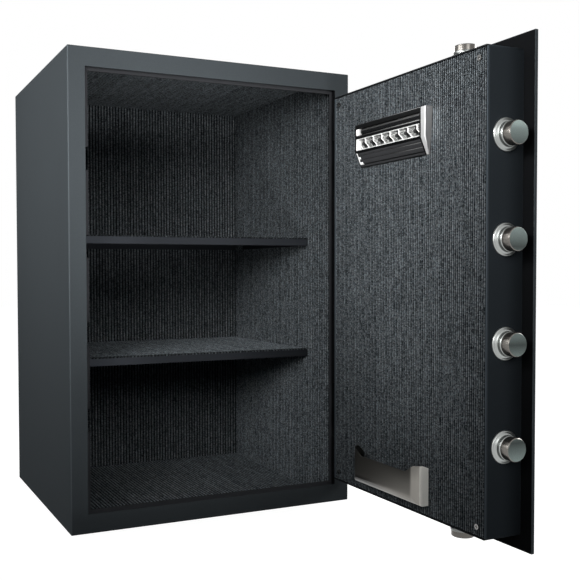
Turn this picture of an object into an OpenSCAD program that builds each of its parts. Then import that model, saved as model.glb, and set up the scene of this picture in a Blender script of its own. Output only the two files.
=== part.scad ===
// Electronic safe with its door open at a right angle and its bolts out.
// Millimetres. The origin is the middle of the base, X runs to the right, Y into the depth, Z up.
// Everything on the door is drawn with the door closed, and on_door() swings it to where it stands.

/* [Body] */
// Width of the body
body_w = 400; // [360:1:480]
// Height of the body
body_h = 600; // [500:1:720]
// Depth of the body
body_d = 330; // [270:1:400]
// Thickness of the outer steel sheet
shell_t = 2.5; // [2:0.5:4]
// Radius of the bent outer edges
edge_r = 1.5; // [0.5:0.5:2]
// Width of the front frame at the sides
frame_side = 22; // [21:0.5:26]
// Height of the front frame at the top and bottom
frame_end = 24; // [20:0.5:30]
// Thickness of the plate that backs the front frame
backing_t = 2.5; // [2:0.5:4]
// Thickness of the flange that closes the gap behind the door plate
flange_t = 3; // [2:0.5:4]
// How far that flange stands into the opening
flange_w = 4.5; // [3:0.5:6]
// Thickness of the ribbed carpet on the walls
carpet_t = 2.5; // [1.5:0.5:4]
// Thickness of the inner sheet on the hinge side
liner_t = 1.5; // [1:0.5:2]
// Radius of the anchor holes
anchor_r = 6.5; // [4:0.5:8]
// Distance between the two anchor holes of a pair
anchor_spacing = 240; // [160:1:260]
// Radius of the cut in the carpet around an anchor hole
anchor_cut_r = 12; // [9:0.5:16]
// Height of the anchor holes in the rear panel
rear_anchor_z = 188; // [60:1:190]
// Distance of the floor's anchor holes from the front
floor_anchor_in = 46; // [40:1:70]

/* [Shelves] */
// Height of the upper shelf's top
upper_shelf_z = 374.5; // [300:0.5:420]
// Height of the lower shelf's top
lower_shelf_z = 211; // [120:0.5:260]
// Height of a shelf with its mat
shelf_h = 12; // [9:0.5:20]
// Thickness of the mat on a shelf
mat_t = 2; // [1:0.5:3]
// Thickness of a shelf's steel sheet
shelf_t = 1.5; // [1:0.5:2]
// Distance of the shelves' front edge from the front of the body
shelf_setback = 75; // [60:1:120]
// Length of the angle that carries a shelf's end
support_l = 190; // [120:1:210]
// Width of that angle
support_w = 14; // [10:1:20]

/* [Door] */
// Gap between the door plate and the frame
door_gap = 4.5; // [3.5:0.5:6]
// Thickness of the door plate
plate_t = 4; // [3:0.5:5]
// Depth of the whole door without its fittings
door_depth = 51.5; // [48:0.5:60]
// Step from the plate's free edge to the door box
box_in_free = 15.8; // [12:0.1:20]
// Step from the plate's hinge edge to the door box
box_in_hinge = 39.3; // [36:0.1:50]
// Step from the plate's top and bottom edges to the door box
box_in_end = 16; // [12:0.5:20]
// Thickness of the door box's sheet
box_t = 1.5; // [1:0.5:2.5]
// Outer radius of the door box's bends
box_r = 2.5; // [2:0.5:4]
// Width of the door box's inner lip
lip_w = 20; // [17:1:30]
// Thickness of the back panel under the carpet
panel_t = 1.2; // [1:0.1:2]
// Thickness of the back panel's carpet
panel_carpet_t = 2; // [1:0.5:3]
// Step from the door box's edge to the back panel
panel_in = 2.5; // [1.5:0.5:4]
// Distance of the panel screws from the door box's edges
screw_in = 12; // [9:0.5:15]
// Radius of a panel screw's head
screw_head_r = 3; // [2.5:0.5:4]

/* [Hinges] */
// Distance of the hinge axis from the side of the body
hinge_in = 10; // [9.5:0.5:12]
// Distance of the hinge axis behind the front of the body
hinge_back = 12; // [11.5:0.5:14]
// Radius of a hinge barrel
barrel_r = 7.5; // [6.5:0.5:8]
// Radius of a hinge pin
pin_r = 4; // [3:0.5:4.5]
// Radial clearance of a pin or shaft that turns in its bore
turn_gap = 0.05; // [0.03:0.01:0.09]
// Height of one hinge knuckle
knuckle_h = 22; // [14:1:30]
// Gap between two knuckles
knuckle_gap = 0.5; // [0.3:0.1:1]
// Height of the hinge pockets above and below the middle of a hinge
pocket_half = 38; // [36:1:50]
// Depth of a hinge pocket behind the front
pocket_d = 24; // [23:0.5:30]
// Distance of each hinge's middle from the top or bottom of the body
hinge_from_end = 130; // [80:1:180]

/* [Bolts] */
// Radius of a bolt
bolt_r = 12.5; // [9:0.5:13]
// Distance of the outermost side bolts from the ends of the door box
bolt_in = 93.5; // [70:0.5:100]
// Height of the handle and of the middle of the side bolts above the middle of the body
mechanism_up = 2.6; // [-10:0.1:10]
// Distance of the bolts' axes behind the plate's front
bolt_y = 27.3; // [25:0.1:30]
// How far a side bolt stands out of the door box
bolt_out = 18.9; // [12:0.1:18.9]
// How far the top and bottom bolts stand out of the door box
end_bolt_out = 15; // [10:0.5:15]
// Distance of the top and bottom bolts from the side of the body
end_bolt_x = 105.4; // [105:0.1:125]
// Length of a side bolt
bolt_l = 39.6; // [36:0.1:45]
// Length of the top and bottom bolts
end_bolt_l = 42; // [36:1:50]
// Bevel on a bolt's end
bolt_bevel = 0.8; // [0.3:0.1:1.5]
// Radius of a bolt collar's flange
collar_r = 17.7; // [15:0.1:18]
// How far a bolt collar stands out of the door box
collar_h = 8.5; // [6:0.5:9]
// Width of the bolt carrier
carrier_w = 18; // [12:1:20]
// Thickness of the bolt carrier
carrier_t = 5; // [3:0.5:6]

/* [Gear and rods] */
// Distance of the handle's spindle from the side of the body
spindle_x = 120; // [118:0.5:140]
// Radius of the spindle
spindle_r = 6; // [5:0.5:7]
// Module of the pinion's teeth
gear_module = 1.5; // [1.25:0.25:1.5]
// Number of the pinion's teeth
gear_teeth = 17; // [15:1:17]
// Play between a gear tooth and its space
backlash = 0.3; // [0.2:0.05:0.5]
// Thickness of a rack bar
rack_t = 5; // [3:0.5:6]
// Width of a rack bar behind its teeth
rack_w = 8; // [6:0.5:9]
// Gap between two rack bars
layer_gap = 2; // [1:0.5:3]
// Length of toothed rack on each side of its middle
rack_half = 21; // [20:1:24]
// Distance of the first rack bar behind the plate's front
layer_y = 14; // [12:0.5:15]
// Radius of the solenoid's plunger
plunger_r = 3; // [2:0.5:3]
// Travel of the solenoid's plunger
plunger_travel = 6.5; // [5:0.5:8]

/* [Outside] */
// Width of the keypad housing
pad_w = 90; // [80:1:110]
// Height of the keypad housing
pad_h = 160; // [156:1:175]
// Depth of the keypad housing
pad_d = 16; // [14:1:20]
// Wall thickness of the keypad housing
pad_t = 2; // [1.5:0.5:3]
// Width of a key
key_w = 18; // [14:1:20]
// Height of a key
key_h = 12; // [9:1:13]
// Distance between keys across
key_dx = 24; // [22:1:27]
// Distance between keys up and down
key_dz = 17; // [15:1:18]
// How far a key stands out
key_out = 2; // [1.5:0.5:3]
// Clearance around a key
key_gap = 0.3; // [0.2:0.1:0.5]
// Radius of the handle's hub
hub_r = 15; // [12:1:17]
// How far the handle stands out
handle_out = 38; // [30:1:50]
// Length of the handle's lever from its axis
lever_l = 100; // [70:1:120]

/* [Inside fittings] */
// Width of the lamp
lamp_w = 140; // [110:1:180]
// Height of the lamp
lamp_h = 53; // [45:1:60]
// Distance of the lamp's top from the top of the door box
lamp_in = 47.5; // [30:0.5:80]
// How far the lamp stands out of the carpet
lamp_d = 10; // [8:0.5:14]
// Height of the lamp's upright face
lamp_face = 33.5; // [28:0.5:38]
// Number of the lamp's reflectors
lamp_cups = 7; // [5:1:9]
// Width of the document pocket
doc_w = 130; // [100:1:170]
// Height of the document pocket
doc_h = 46; // [40:1:70]
// Height of the document pocket's bottom
doc_z = 58; // [50:1:80]
// How far the document pocket stands out of the carpet
doc_d = 18; // [12:0.5:24]
// Thickness of the document pocket's sheet
doc_t = 1.2; // [0.8:0.1:2]
// Depth of the notch in the document pocket's upper edge
doc_notch = 9; // [5:1:14]

/* [Hidden] */

eps = 0.01;
round_fn = 64;
small_fn = 32;

// Planes of the body
left_x = -body_w / 2;
right_x = body_w / 2;
front_y = -body_d / 2;
back_y = body_d / 2;
open_l = left_x + frame_side;
open_r = right_x - frame_side;
open_b = frame_end;
open_t = body_h - frame_end;
frame_back = front_y + shell_t + backing_t;
flange_back = frame_back + flange_t;
room_l = left_x + shell_t + carpet_t;
room_r = open_r;
liner_x = open_r + carpet_t;
cavity_r = right_x - shell_t;
room_b = shell_t + carpet_t;
room_t = body_h - shell_t - carpet_t;
rear_in = back_y - shell_t;

// Hinge axis and pockets
hinge_x = right_x - hinge_in;
hinge_y = front_y + hinge_back;
hinge_zs = [hinge_from_end, body_h - hinge_from_end];
pocket_x = liner_x + liner_t;

// Planes of the closed door
plate_l = open_l + door_gap;
plate_r = open_r - door_gap;
plate_b = open_b + door_gap;
plate_top = open_t - door_gap;
plate_back = front_y + plate_t;
box_l = plate_l + box_in_free;
box_rt = plate_r - box_in_hinge;
box_b = plate_b + box_in_end;
box_top = plate_top - box_in_end;
door_face = front_y + door_depth;
panel_back = door_face - panel_carpet_t - panel_t;
lip_back = panel_back - box_t;

// Bolts, in the door's closed place
mechanism_z = body_h / 2 + mechanism_up;
bolt_pitch = (box_top - box_b) / 3 - 2 * bolt_in / 3;
bolt_axis_y = front_y + bolt_y;
side_zs = [for (i = [-1.5, -0.5, 0.5, 1.5]) mechanism_z + i * bolt_pitch];
side_tip = box_l - bolt_out;
side_end = side_tip + bolt_l;
end_x = left_x + end_bolt_x;
top_tip = box_top + end_bolt_out;
bottom_tip = box_b - end_bolt_out;
foot_t = 4;
nut_t = 5;
carrier_half = 1.5 * bolt_pitch + 10;

// Pinion and racks
pitch_r = gear_module * gear_teeth / 2;
tooth_pitch = PI * gear_module;
addendum = 0.9 * gear_module;
dedendum = 1.25 * gear_module;
pinion_x = left_x + spindle_x;
pinion_y = front_y + layer_y - 1;
pinion_l = 3 * rack_t + 2 * layer_gap + 2;
layer = [for (i = [0:2]) front_y + layer_y + i * (rack_t + layer_gap)];
rack_back = pitch_r + dedendum + rack_w;
pressure = 20;

// Solenoid that blocks the side bolts
lug_w = 3;
lug_h = 8;
lug_gap = 0.3;
// Way of the side bolts from where they stand to fully out
throw_out = 9.62;
plunger_x = pinion_x + 10;
lug_x = plunger_x - plunger_r - lug_gap - lug_w + throw_out;
rack_low = mechanism_z - rack_back;
plunger_tip = rack_low - lug_h - 0.5;
coil_top = plunger_tip - 6;
coil_h = 32;
coil_low = coil_top - coil_h;
spring_h = 15;

// Keypad
pad_x = pinion_x;
pad_b = mechanism_z + 31.4;
pad_front = front_y - pad_d;
lock_z = pad_b + 18;
keys = 12;
key_z0 = pad_b + 58;
board_y = front_y - 4;
board_t = 1.6;
lock_r = 9.5;
plug_r = 6;
cover_r = 12.5;
cover_arm = 16;
cover_y = pad_front - 0.5;
cover_t = 2;

// Colours
charcoal = "#3a4043";
felt = "#3b4044";
dark_steel = "#2a2e30";
nickel = "#a8aaa8";
steel = "#8d9193";
black = "#17191b";

// Blocks, profiles and frames

// A block between two corners
module block(a, b) { translate(a) cube(b - a); }

// A rectangle with round corners, as true arcs
module round_rect(a, b, r) {
  translate([a.x + r, a.y]) square([b.x - a.x - 2 * r, b.y - a.y]);
  translate([a.x, a.y + r]) square([b.x - a.x, b.y - a.y - 2 * r]);
  for (x = [a.x + r, b.x - r], y = [a.y + r, b.y - r]) translate([x, y]) circle(r, $fn = small_fn);
}

// Extrudes a profile drawn in X and Z along Y
module along_y(y0, y1) {
  translate([0, y1, 0]) rotate([90, 0, 0]) linear_extrude(y1 - y0) children();
}

// Extrudes a profile drawn in Y and Z along X
module along_x(x0, x1) {
  translate([x0, 0, 0]) rotate([90, 0, 90]) linear_extrude(x1 - x0) children();
}

// A block whose twelve edges are bent round
module round_block(a, b, r) {
  intersection() {
    translate([0, 0, a.z]) linear_extrude(b.z - a.z) round_rect([a.x, a.y], [b.x, b.y], r);
    along_y(a.y, b.y) round_rect([a.x, a.z], [b.x, b.z], r);
    along_x(a.x, b.x) round_rect([a.y, a.z], [b.y, b.z], r);
  }
}

// A round rod along Y, from y0 to y1
module rod_y(x, z, r, y0, y1, fn = round_fn) {
  translate([x, y1, z]) rotate([90, 0, 0]) cylinder(r = r, h = y1 - y0, $fn = fn);
}

// A round rod along X, from x0 to x1
module rod_x(y, z, r, x0, x1, fn = round_fn) {
  translate([x0, y, z]) rotate([0, 90, 0]) cylinder(r = r, h = x1 - x0, $fn = fn);
}

// A round rod along Z, from z0 to z1
module rod_z(x, y, r, z0, z1, fn = round_fn) {
  translate([x, y, z0]) cylinder(r = r, h = z1 - z0, $fn = fn);
}

// Swings what is drawn on the closed door to where the door stands
module on_door() {
  translate([hinge_x, hinge_y, 0]) rotate([0, 0, 90]) translate([-hinge_x, -hinge_y, 0]) children();
}

// Points of a tube of n sides along a path, whose frame keeps clear of the path by the up vector
function unit(v) = v / norm(v);
function ahead(p, i) = unit(p[min(i + 1, len(p) - 1)] - p[max(i - 1, 0)]);
function ring(p, i, r, n, up) =
  let (t = ahead(p, i), s = unit(cross(t, up)), u = cross(s, t))
  [for (k = [0:n - 1]) p[i] + r * (cos(360 * k / n) * s + sin(360 * k / n) * u)];
module tube(p, r, n, up) {
  m = len(p);
  points = [for (i = [0:m - 1]) each ring(p, i, r, n, up)];
  walls = [for (i = [0:m - 2], k = [0:n - 1]) let (a = i * n + k, b = i * n + (k + 1) % n)
    each [[a, b, b + n], [a, b + n, a + n]]];
  caps = [for (k = [1:n - 2]) each [[0, k + 1, k], [(m - 1) * n, (m - 1) * n + k, (m - 1) * n + k + 1]]];
  polyhedron(points, concat(walls, caps));
}

// Body

// The space that a hinge pocket takes out of the front corner
module pocket_cut(x0) {
  for (z = hinge_zs)
    block([x0, front_y - eps, z - pocket_half], [right_x + eps, front_y + pocket_d, z + pocket_half]);
}

// Anchor holes in the floor and in the rear panel
module floor_anchor_holes(r, z0, z1) {
  for (s = [-1, 1]) rod_z(s * anchor_spacing / 2, front_y + floor_anchor_in, r, z0, z1);
}
module rear_anchor_holes(r, y0, y1) {
  for (s = [-1, 1]) rod_y(s * anchor_spacing / 2, rear_anchor_z, r, y0, y1);
}

module outer_shell() {
  color(charcoal) difference() {
    round_block([left_x, front_y, 0], [right_x, back_y, body_h], edge_r);
    block([left_x + shell_t, front_y + shell_t, shell_t], [cavity_r, back_y + eps, body_h - shell_t]);
    block([open_l, front_y - eps, open_b], [open_r, front_y + shell_t + eps, open_t]);
    pocket_cut(open_r - eps);
    floor_anchor_holes(anchor_r, -eps, shell_t + eps);
  }
}

module rear_panel() {
  color(charcoal) difference() {
    block([left_x + shell_t, rear_in, shell_t], [cavity_r, back_y, body_h - shell_t]);
    rear_anchor_holes(anchor_r, rear_in - eps, back_y + eps);
  }
}

// Backing plate and the gap flange, which is cut away where the side bolts pass
module front_frame() {
  color(charcoal) difference() {
    union() {
      difference() {
        block([left_x + shell_t, front_y + shell_t, shell_t], [cavity_r, frame_back, body_h - shell_t]);
        block([open_l, front_y, open_b], [open_r, frame_back + eps, open_t]);
        pocket_cut(open_r - eps);
      }
      difference() {
        block([open_l - flange_w, frame_back, open_b - flange_w], [pocket_x, flange_back, open_t + flange_w]);
        block([open_l + flange_w, frame_back - eps, open_b + flange_w],
          [open_r - flange_w, flange_back + eps, open_t - flange_w]);
      }
    }
    for (z = side_zs)
      block([open_l, frame_back - eps, z - bolt_r - 1.5],
        [open_l + flange_w + eps, flange_back + eps, z + bolt_r + 1.5]);
  }
}

module hinge_side_liner() {
  color(dark_steel)
    block([liner_x, flange_back, shell_t], [pocket_x, rear_in, body_h - shell_t]);
}

// Three-sided trays behind the cut corners
module hinge_pockets() {
  y1 = front_y + pocket_d;
  color(charcoal) for (z = hinge_zs) difference() {
    block([pocket_x, frame_back, z - pocket_half - liner_t],
      [cavity_r, y1 + liner_t, z + pocket_half + liner_t]);
    block([pocket_x - eps, frame_back - eps, z - pocket_half], [cavity_r + eps, y1, z + pocket_half]);
  }
}

module side_carpets() {
  color(felt) {
    block([left_x + shell_t, flange_back, room_b], [room_l, rear_in - carpet_t, room_t]);
    block([open_r, flange_back, room_b], [liner_x, rear_in - carpet_t, room_t]);
  }
}

module rear_carpet() {
  color(felt) difference() {
    block([left_x + shell_t, rear_in - carpet_t, room_b], [liner_x, rear_in, room_t]);
    rear_anchor_holes(anchor_cut_r, rear_in - carpet_t - eps, rear_in + eps);
  }
}

module ceiling_carpet() {
  color(felt) block([left_x + shell_t, flange_back, room_t], [liner_x, rear_in, body_h - shell_t]);
}

module floor_carpet() {
  color(felt) difference() {
    block([left_x + shell_t, flange_back, shell_t], [liner_x, rear_in, room_b]);
    floor_anchor_holes(anchor_cut_r, 0, room_b + eps);
  }
}

// Shelves

shelf_l = room_l + 0.5;
shelf_r = room_r - 0.5;
shelf_y0 = front_y + shelf_setback;
shelf_y1 = rear_in - carpet_t - 0.5;

// A tray turned upside down, open at its ends
module shelf(top) {
  z1 = top - mat_t;
  z0 = top - shelf_h;
  color(dark_steel) difference() {
    along_x(shelf_l, shelf_r) round_rect([shelf_y0, z0], [shelf_y1, z1], 1);
    block([shelf_l - eps, shelf_y0 + shelf_t, z0 - eps], [shelf_r + eps, shelf_y1 - shelf_t, z1 - shelf_t]);
  }
}
module upper_shelf() { shelf(upper_shelf_z); }
module lower_shelf() { shelf(lower_shelf_z); }

module shelf_mats() {
  color(felt) for (top = [upper_shelf_z, lower_shelf_z])
    block([shelf_l, shelf_y0 + 0.5, top - mat_t], [shelf_r, shelf_y1, top]);
}

// Angles fixed to the side walls, inside the shelves' lips
module shelf_supports() {
  leg = shelf_h - mat_t - shelf_t;
  y0 = (shelf_y0 + shelf_y1 - support_l) / 2;
  color(dark_steel) for (top = [upper_shelf_z, lower_shelf_z], side = [0, 1]) {
    z1 = top - mat_t - shelf_t;
    wall = side == 0 ? room_l : room_r;
    way = side == 0 ? 1 : -1;
    translate([wall, y0, z1]) mirror([side, 0, 0]) difference() {
      translate([0, 0, -leg]) cube([support_w, support_l, leg]);
      translate([shelf_t, -eps, -leg - eps]) cube([support_w, support_l + 2 * eps, leg - shelf_t]);
    }
  }
}

// Hinges

module knuckle(z) {
  difference() {
    children();
    rod_z(hinge_x, hinge_y, pin_r + turn_gap, z - knuckle_h, z + knuckle_h);
  }
}

// Two knuckles of each hinge, on legs that stand on the pocket's back
module body_knuckles() {
  step = knuckle_h + knuckle_gap;
  color(charcoal) for (zm = hinge_zs, s = [-1, 1]) {
    z = zm + s * step;
    knuckle(z) {
      rod_z(hinge_x, hinge_y, barrel_r, z - knuckle_h / 2, z + knuckle_h / 2);
      block([hinge_x - 5, hinge_y, z - knuckle_h / 2], [hinge_x + 5, front_y + pocket_d, z + knuckle_h / 2]);
    }
  }
}

module hinge_pins() {
  half = 1.5 * knuckle_h + knuckle_gap + 2;
  color(steel) for (z = hinge_zs) {
    rod_z(hinge_x, hinge_y, pin_r, z - half, z + half);
    rod_z(hinge_x, hinge_y, pin_r + 1.5, z + half - 2, z + half);
  }
}

// The door's knuckle of each hinge, with the block that is welded to the plate's ear
module door_knuckles() {
  color(charcoal) on_door() for (z = hinge_zs) knuckle(z) {
    rod_z(hinge_x, hinge_y, barrel_r, z - knuckle_h / 2, z + knuckle_h / 2);
    block([hinge_x - barrel_r, front_y, z - knuckle_h / 2], [hinge_x, hinge_y, z + knuckle_h / 2]);
  }
}

// Door

module door_plate() {
  color(charcoal) on_door() difference() {
    union() {
      block([plate_l, front_y, plate_b], [plate_r, plate_back, plate_top]);
      for (z = hinge_zs)
        block([plate_r - eps, front_y, z - knuckle_h / 2], [hinge_x - barrel_r, plate_back, z + knuckle_h / 2]);
    }
    rod_y(pinion_x, mechanism_z, bush_r, front_y - eps, plate_back + eps);
    rod_y(pad_x, lock_z, lock_r + 0.5, front_y - eps, plate_back + eps);
    rod_y(cable_hole.x, cable_hole.z, cable_hole_r, front_y - eps, plate_back + eps);
  }
}

module box_space(inset, y1, r) {
  intersection() {
    round_block([box_l + inset, plate_back - 2 * box_r, box_b + inset], [box_rt - inset, y1, box_top - inset], r);
    block([box_l, plate_back, box_b], [box_rt, y1 + eps, box_top]);
  }
}

// Four sides, a rim round the back panel and an inner lip that the panel is screwed on
module door_box() {
  color(charcoal) on_door() difference() {
    box_space(0, door_face + 2 * box_r, box_r);
    block([box_l - 1, door_face, box_b - 1], [box_rt + 1, door_face + 2 * box_r + 1, box_top + 1]);
    along_y(panel_back, door_face + eps)
      round_rect([box_l + box_t, box_b + box_t], [box_rt - box_t, box_top - box_t], box_r - box_t);
    box_space(box_t, lip_back, box_r - box_t);
    block([box_l + lip_w, lip_back - 1, box_b + lip_w], [box_rt - lip_w, panel_back + eps, box_top - lip_w]);
    for (z = side_zs) rod_x(bolt_axis_y, z, collar_neck_r, box_l - eps, box_l + box_t + eps);
    rod_z(end_x, bolt_axis_y, collar_neck_r, box_b - eps, box_b + box_t + eps);
    rod_z(end_x, bolt_axis_y, collar_neck_r, box_top - box_t - eps, box_top + eps);
    panel_screw_holes(lip_back - eps, panel_back + eps);
  }
}

screw_xs = [box_l + screw_in, box_rt - screw_in];
screw_zs = [box_b + screw_in, box_top - screw_in];
screw_r = 1.7;
module panel_screw_holes(y0, y1) {
  for (x = screw_xs, z = screw_zs) rod_y(x, z, screw_r + turn_gap, y0, y1, small_fn);
}

module panel_sheet(y0, y1) {
  difference() {
    along_y(y0, y1)
      round_rect([box_l + panel_in, box_b + panel_in], [box_rt - panel_in, box_top - panel_in], 1.5);
    panel_screw_holes(y0 - eps, y1 + eps);
  }
}
module back_panel() { color(dark_steel) on_door() panel_sheet(panel_back, door_face - panel_carpet_t); }
module panel_carpet() { color(felt) on_door() panel_sheet(door_face - panel_carpet_t, door_face); }

module panel_screws() {
  color(nickel) on_door() for (x = screw_xs, z = screw_zs) difference() {
    union() {
      rod_y(x, z, screw_r, lip_back - 4, door_face + eps, small_fn);
      rod_y(x, z, screw_head_r, door_face, door_face + 1.4, small_fn);
    }
    for (a = [0, 90]) translate([x, door_face + 1.4, z]) rotate([0, a, 0]) cube([3.4, 1.6, 0.7], center = true);
  }
}

// Bolt collars: a flange with a rounded shoulder, a groove and a ring, and a nut inside the box

collar_neck_r = 14;
collar_flange = 3.2;
collar_shoulder = 4.6;
module collar() {
  bore = bolt_r + turn_gap;
  rotate_extrude($fn = round_fn) polygon([
    [bore, -box_t - nut_t - 1], [collar_neck_r - 0.1, -box_t - nut_t - 1], [collar_neck_r - 0.1, -box_t - nut_t],
    [collar_r - 1, -box_t - nut_t], [collar_r - 1, -box_t], [collar_neck_r - 0.1, -box_t],
    [collar_neck_r - 0.1, 0], [collar_r, 0], [collar_r, collar_flange - 0.8], [collar_r - 0.6, collar_flange],
    [collar_r - 2.2, collar_shoulder], [bolt_r + 1.1, collar_shoulder], [bolt_r + 1.1, collar_shoulder + 0.8],
    [bolt_r + 1.8, collar_shoulder + 0.8], [bolt_r + 1.8, collar_h - 0.6], [bolt_r + 1.2, collar_h],
    [bore, collar_h]]);
}

// Places a thing drawn on +Z at a side bolt, at the top bolt or at the bottom bolt
module at_side(z) { translate([box_l, bolt_axis_y, z]) rotate([0, -90, 0]) children(); }
module at_top() { translate([end_x, bolt_axis_y, box_top]) children(); }
module at_bottom() { translate([end_x, bolt_axis_y, box_b]) rotate([180, 0, 0]) children(); }

module bolt_collars() {
  color(nickel) on_door() {
    for (z = side_zs) at_side(z) collar();
    at_top() collar();
    at_bottom() collar();
  }
}

// A bolt whose tip is at out, with a tapped hole in its inner end
module bolt(out, length) {
  rotate_extrude($fn = round_fn) polygon([
    [0, out - length + tap_depth], [tap_r, out - length + tap_depth], [tap_r, out - length],
    [bolt_r, out - length], [bolt_r, out - bolt_bevel], [bolt_r - bolt_bevel, out], [0, out]]);
}
tap_r = 4.05;
tap_depth = 12;

module side_bolts() { color(steel) on_door() for (z = side_zs) at_side(z) bolt(bolt_out, bolt_l); }

// Teeth

// Angle of an involute at radius r, from the base circle
function involute(r, base) = let (a = acos(min(1, base / r))) tan(a) * 180 / PI - a;
function polar(r, a) = [r * cos(a), r * sin(a)];

// Outline of the pinion, with one tooth centred on the +X axis
module pinion_outline() {
  base = pitch_r * cos(pressure);
  root = pitch_r - dedendum;
  tip = pitch_r + addendum;
  half = 90 / gear_teeth - backlash / 4 / pitch_r * 180 / PI;
  at = function(r) half + involute(pitch_r, base) - involute(max(r, base), base);
  radii = [for (i = [0:4]) base + (tip - base) * i / 4];
  polygon([for (k = [0:gear_teeth - 1]) let (c = 360 * k / gear_teeth) each concat(
    [polar(root, c - at(base))], [for (r = radii) polar(r, c - at(r))],
    [for (i = [4:-1:0]) polar(radii[i], c + at(radii[i]))], [polar(root, c + at(base))])]);
}

// Outline of a rack on +X of the pinion's axis, with gaps for the pinion teeth that stand at phase
module rack_outline(phase) {
  foot = pitch_r + dedendum;
  top = pitch_r - addendum;
  wide = function(h) tooth_pitch / 4 - backlash / 4 - h * tan(pressure);
  teeth = [for (k = [5:-1:-6]) let (c = phase + (k + 0.5) * tooth_pitch)
    if (abs(c) < rack_half - tooth_pitch / 2) c];
  polygon(concat(
    [[rack_back, -rack_half], [rack_back, rack_half], [foot, rack_half]],
    [for (c = teeth) each [[foot, c + wide(-dedendum)], [top, c + wide(addendum)],
      [top, c - wide(addendum)], [foot, c - wide(-dedendum)]]],
    [[foot, -rack_half]]));
}

// A rack bar at its side of the pinion, in its layer
module rack(side, index) {
  translate([pinion_x, layer[index] + rack_t, mechanism_z]) rotate([90, 0, 0]) linear_extrude(rack_t)
    rotate(side) rack_outline(phase_at(side));
}

// Where the nearest pinion tooth stands from a side, along the pitch line
function phase_at(side) =
  let (step = 360 / gear_teeth, off = side - step * round(side / step)) -off * PI / 180 * pitch_r;

// Bolt carrier with the side rack under the pinion, its screws and the lug that the plunger blocks
module bolt_carrier() {
  y0 = bolt_axis_y - carrier_w / 2;
  x1 = side_end + carrier_t;
  rack_x = pinion_x - rack_half;
  color(steel) on_door() {
    block([side_end, y0, mechanism_z - carrier_half], [x1, y0 + carrier_w, mechanism_z + carrier_half]);
    rack(270, 2);
    block([x1 - eps, layer[2], rack_low], [rack_x + 1, layer[2] + rack_t, rack_low + rack_w]);
    block([lug_x, layer[2], rack_low - lug_h], [lug_x + lug_w, layer[2] + rack_t, rack_low + eps]);
    for (z = side_zs) {
      rod_x(bolt_axis_y, z, 6.5, x1 - eps, x1 + 4);
      rod_x(bolt_axis_y, z, 4, side_end - tap_depth + 1, side_end + eps);
    }
  }
}

// Top bolt with its rod, foot screw and rack on the pinion's left
module top_bolt() {
  z0 = top_tip - end_bolt_l;
  color(steel) on_door() {
    at_top() bolt(end_bolt_out, end_bolt_l);
    rod_z(end_x, bolt_axis_y, bolt_r - 1, z0 - foot_t, z0);
    rod_z(end_x, bolt_axis_y, tap_r - 0.05, z0 - eps, z0 + tap_depth - 1);
    rack(180, 1);
    block([pinion_x - rack_back, layer[1], mechanism_z + rack_half - 1],
      [pinion_x - rack_back + rack_w, layer[1] + rack_t, z0 - foot_t + eps]);
  }
}

// Bottom bolt with its cranked rod and rack on the pinion's right
module bottom_bolt() {
  z0 = bottom_tip + end_bolt_l;
  x1 = pinion_x + rack_back;
  jog = coil_low - 12;
  color(steel) on_door() {
    at_bottom() bolt(end_bolt_out, end_bolt_l);
    rod_z(end_x, bolt_axis_y, bolt_r - 1, z0, z0 + foot_t);
    rod_z(end_x, bolt_axis_y, tap_r - 0.05, z0 - tap_depth + 1, z0 + eps);
    rack(0, 0);
    block([x1 - rack_w, layer[0], jog], [x1, layer[0] + rack_t, mechanism_z - rack_half + 1]);
    block([end_x - rack_w / 2, layer[0], jog], [x1, layer[0] + rack_t, jog + rack_w + 2]);
    block([end_x - rack_w / 2, layer[0], z0 + foot_t - eps], [end_x + rack_w / 2, layer[0] + rack_t, jog + 1]);
  }
}

// Staples on the plate that guide the two rods
module rod_guide(x0, x1, y0, z) {
  slide = 0.4;
  difference() {
    block([x0 - 5, plate_back, z - 5], [x1 + 5, y0 + rack_t + 4, z + 5]);
    block([x0 - slide, y0 - slide, z - 5 - eps], [x1 + slide, y0 + rack_t + slide, z + 5 + eps]);
  }
}
module rod_guides() {
  top_x = pinion_x - rack_back;
  top_z = (mechanism_z + rack_half + top_tip - end_bolt_l - foot_t) / 2;
  bottom_z = (coil_low - 12 + bottom_tip + end_bolt_l + foot_t) / 2;
  color(steel) on_door() {
    rod_guide(top_x, top_x + rack_w, layer[1], top_z);
    rod_guide(end_x - rack_w / 2, end_x + rack_w / 2, layer[0], bottom_z);
  }
}

// Handle and spindle

bush_r = 10;
module spindle_bush() {
  color("#b08d57") on_door() difference() {
    union() {
      rod_y(pinion_x, mechanism_z, bush_r - turn_gap, front_y, plate_back + eps);
      rod_y(pinion_x, mechanism_z, bush_r + 4, plate_back, plate_back + 3);
      rod_y(pinion_x, mechanism_z, bush_r - 1, plate_back + 3 - eps, pinion_y - 1);
    }
    rod_y(pinion_x, mechanism_z, spindle_r + turn_gap, front_y - eps, pinion_y);
  }
}

module handle_rose() {
  color(nickel) on_door() difference() {
    translate([pinion_x, front_y, mechanism_z]) rotate([90, 0, 0]) rotate_extrude($fn = round_fn)
      polygon([[spindle_r + 2, 0], [24, 0], [24, 2.5], [22.5, 4], [spindle_r + 2, 4]]);
    rod_y(pinion_x, mechanism_z, spindle_r + 1, front_y - 5, front_y + eps);
  }
}

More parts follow.
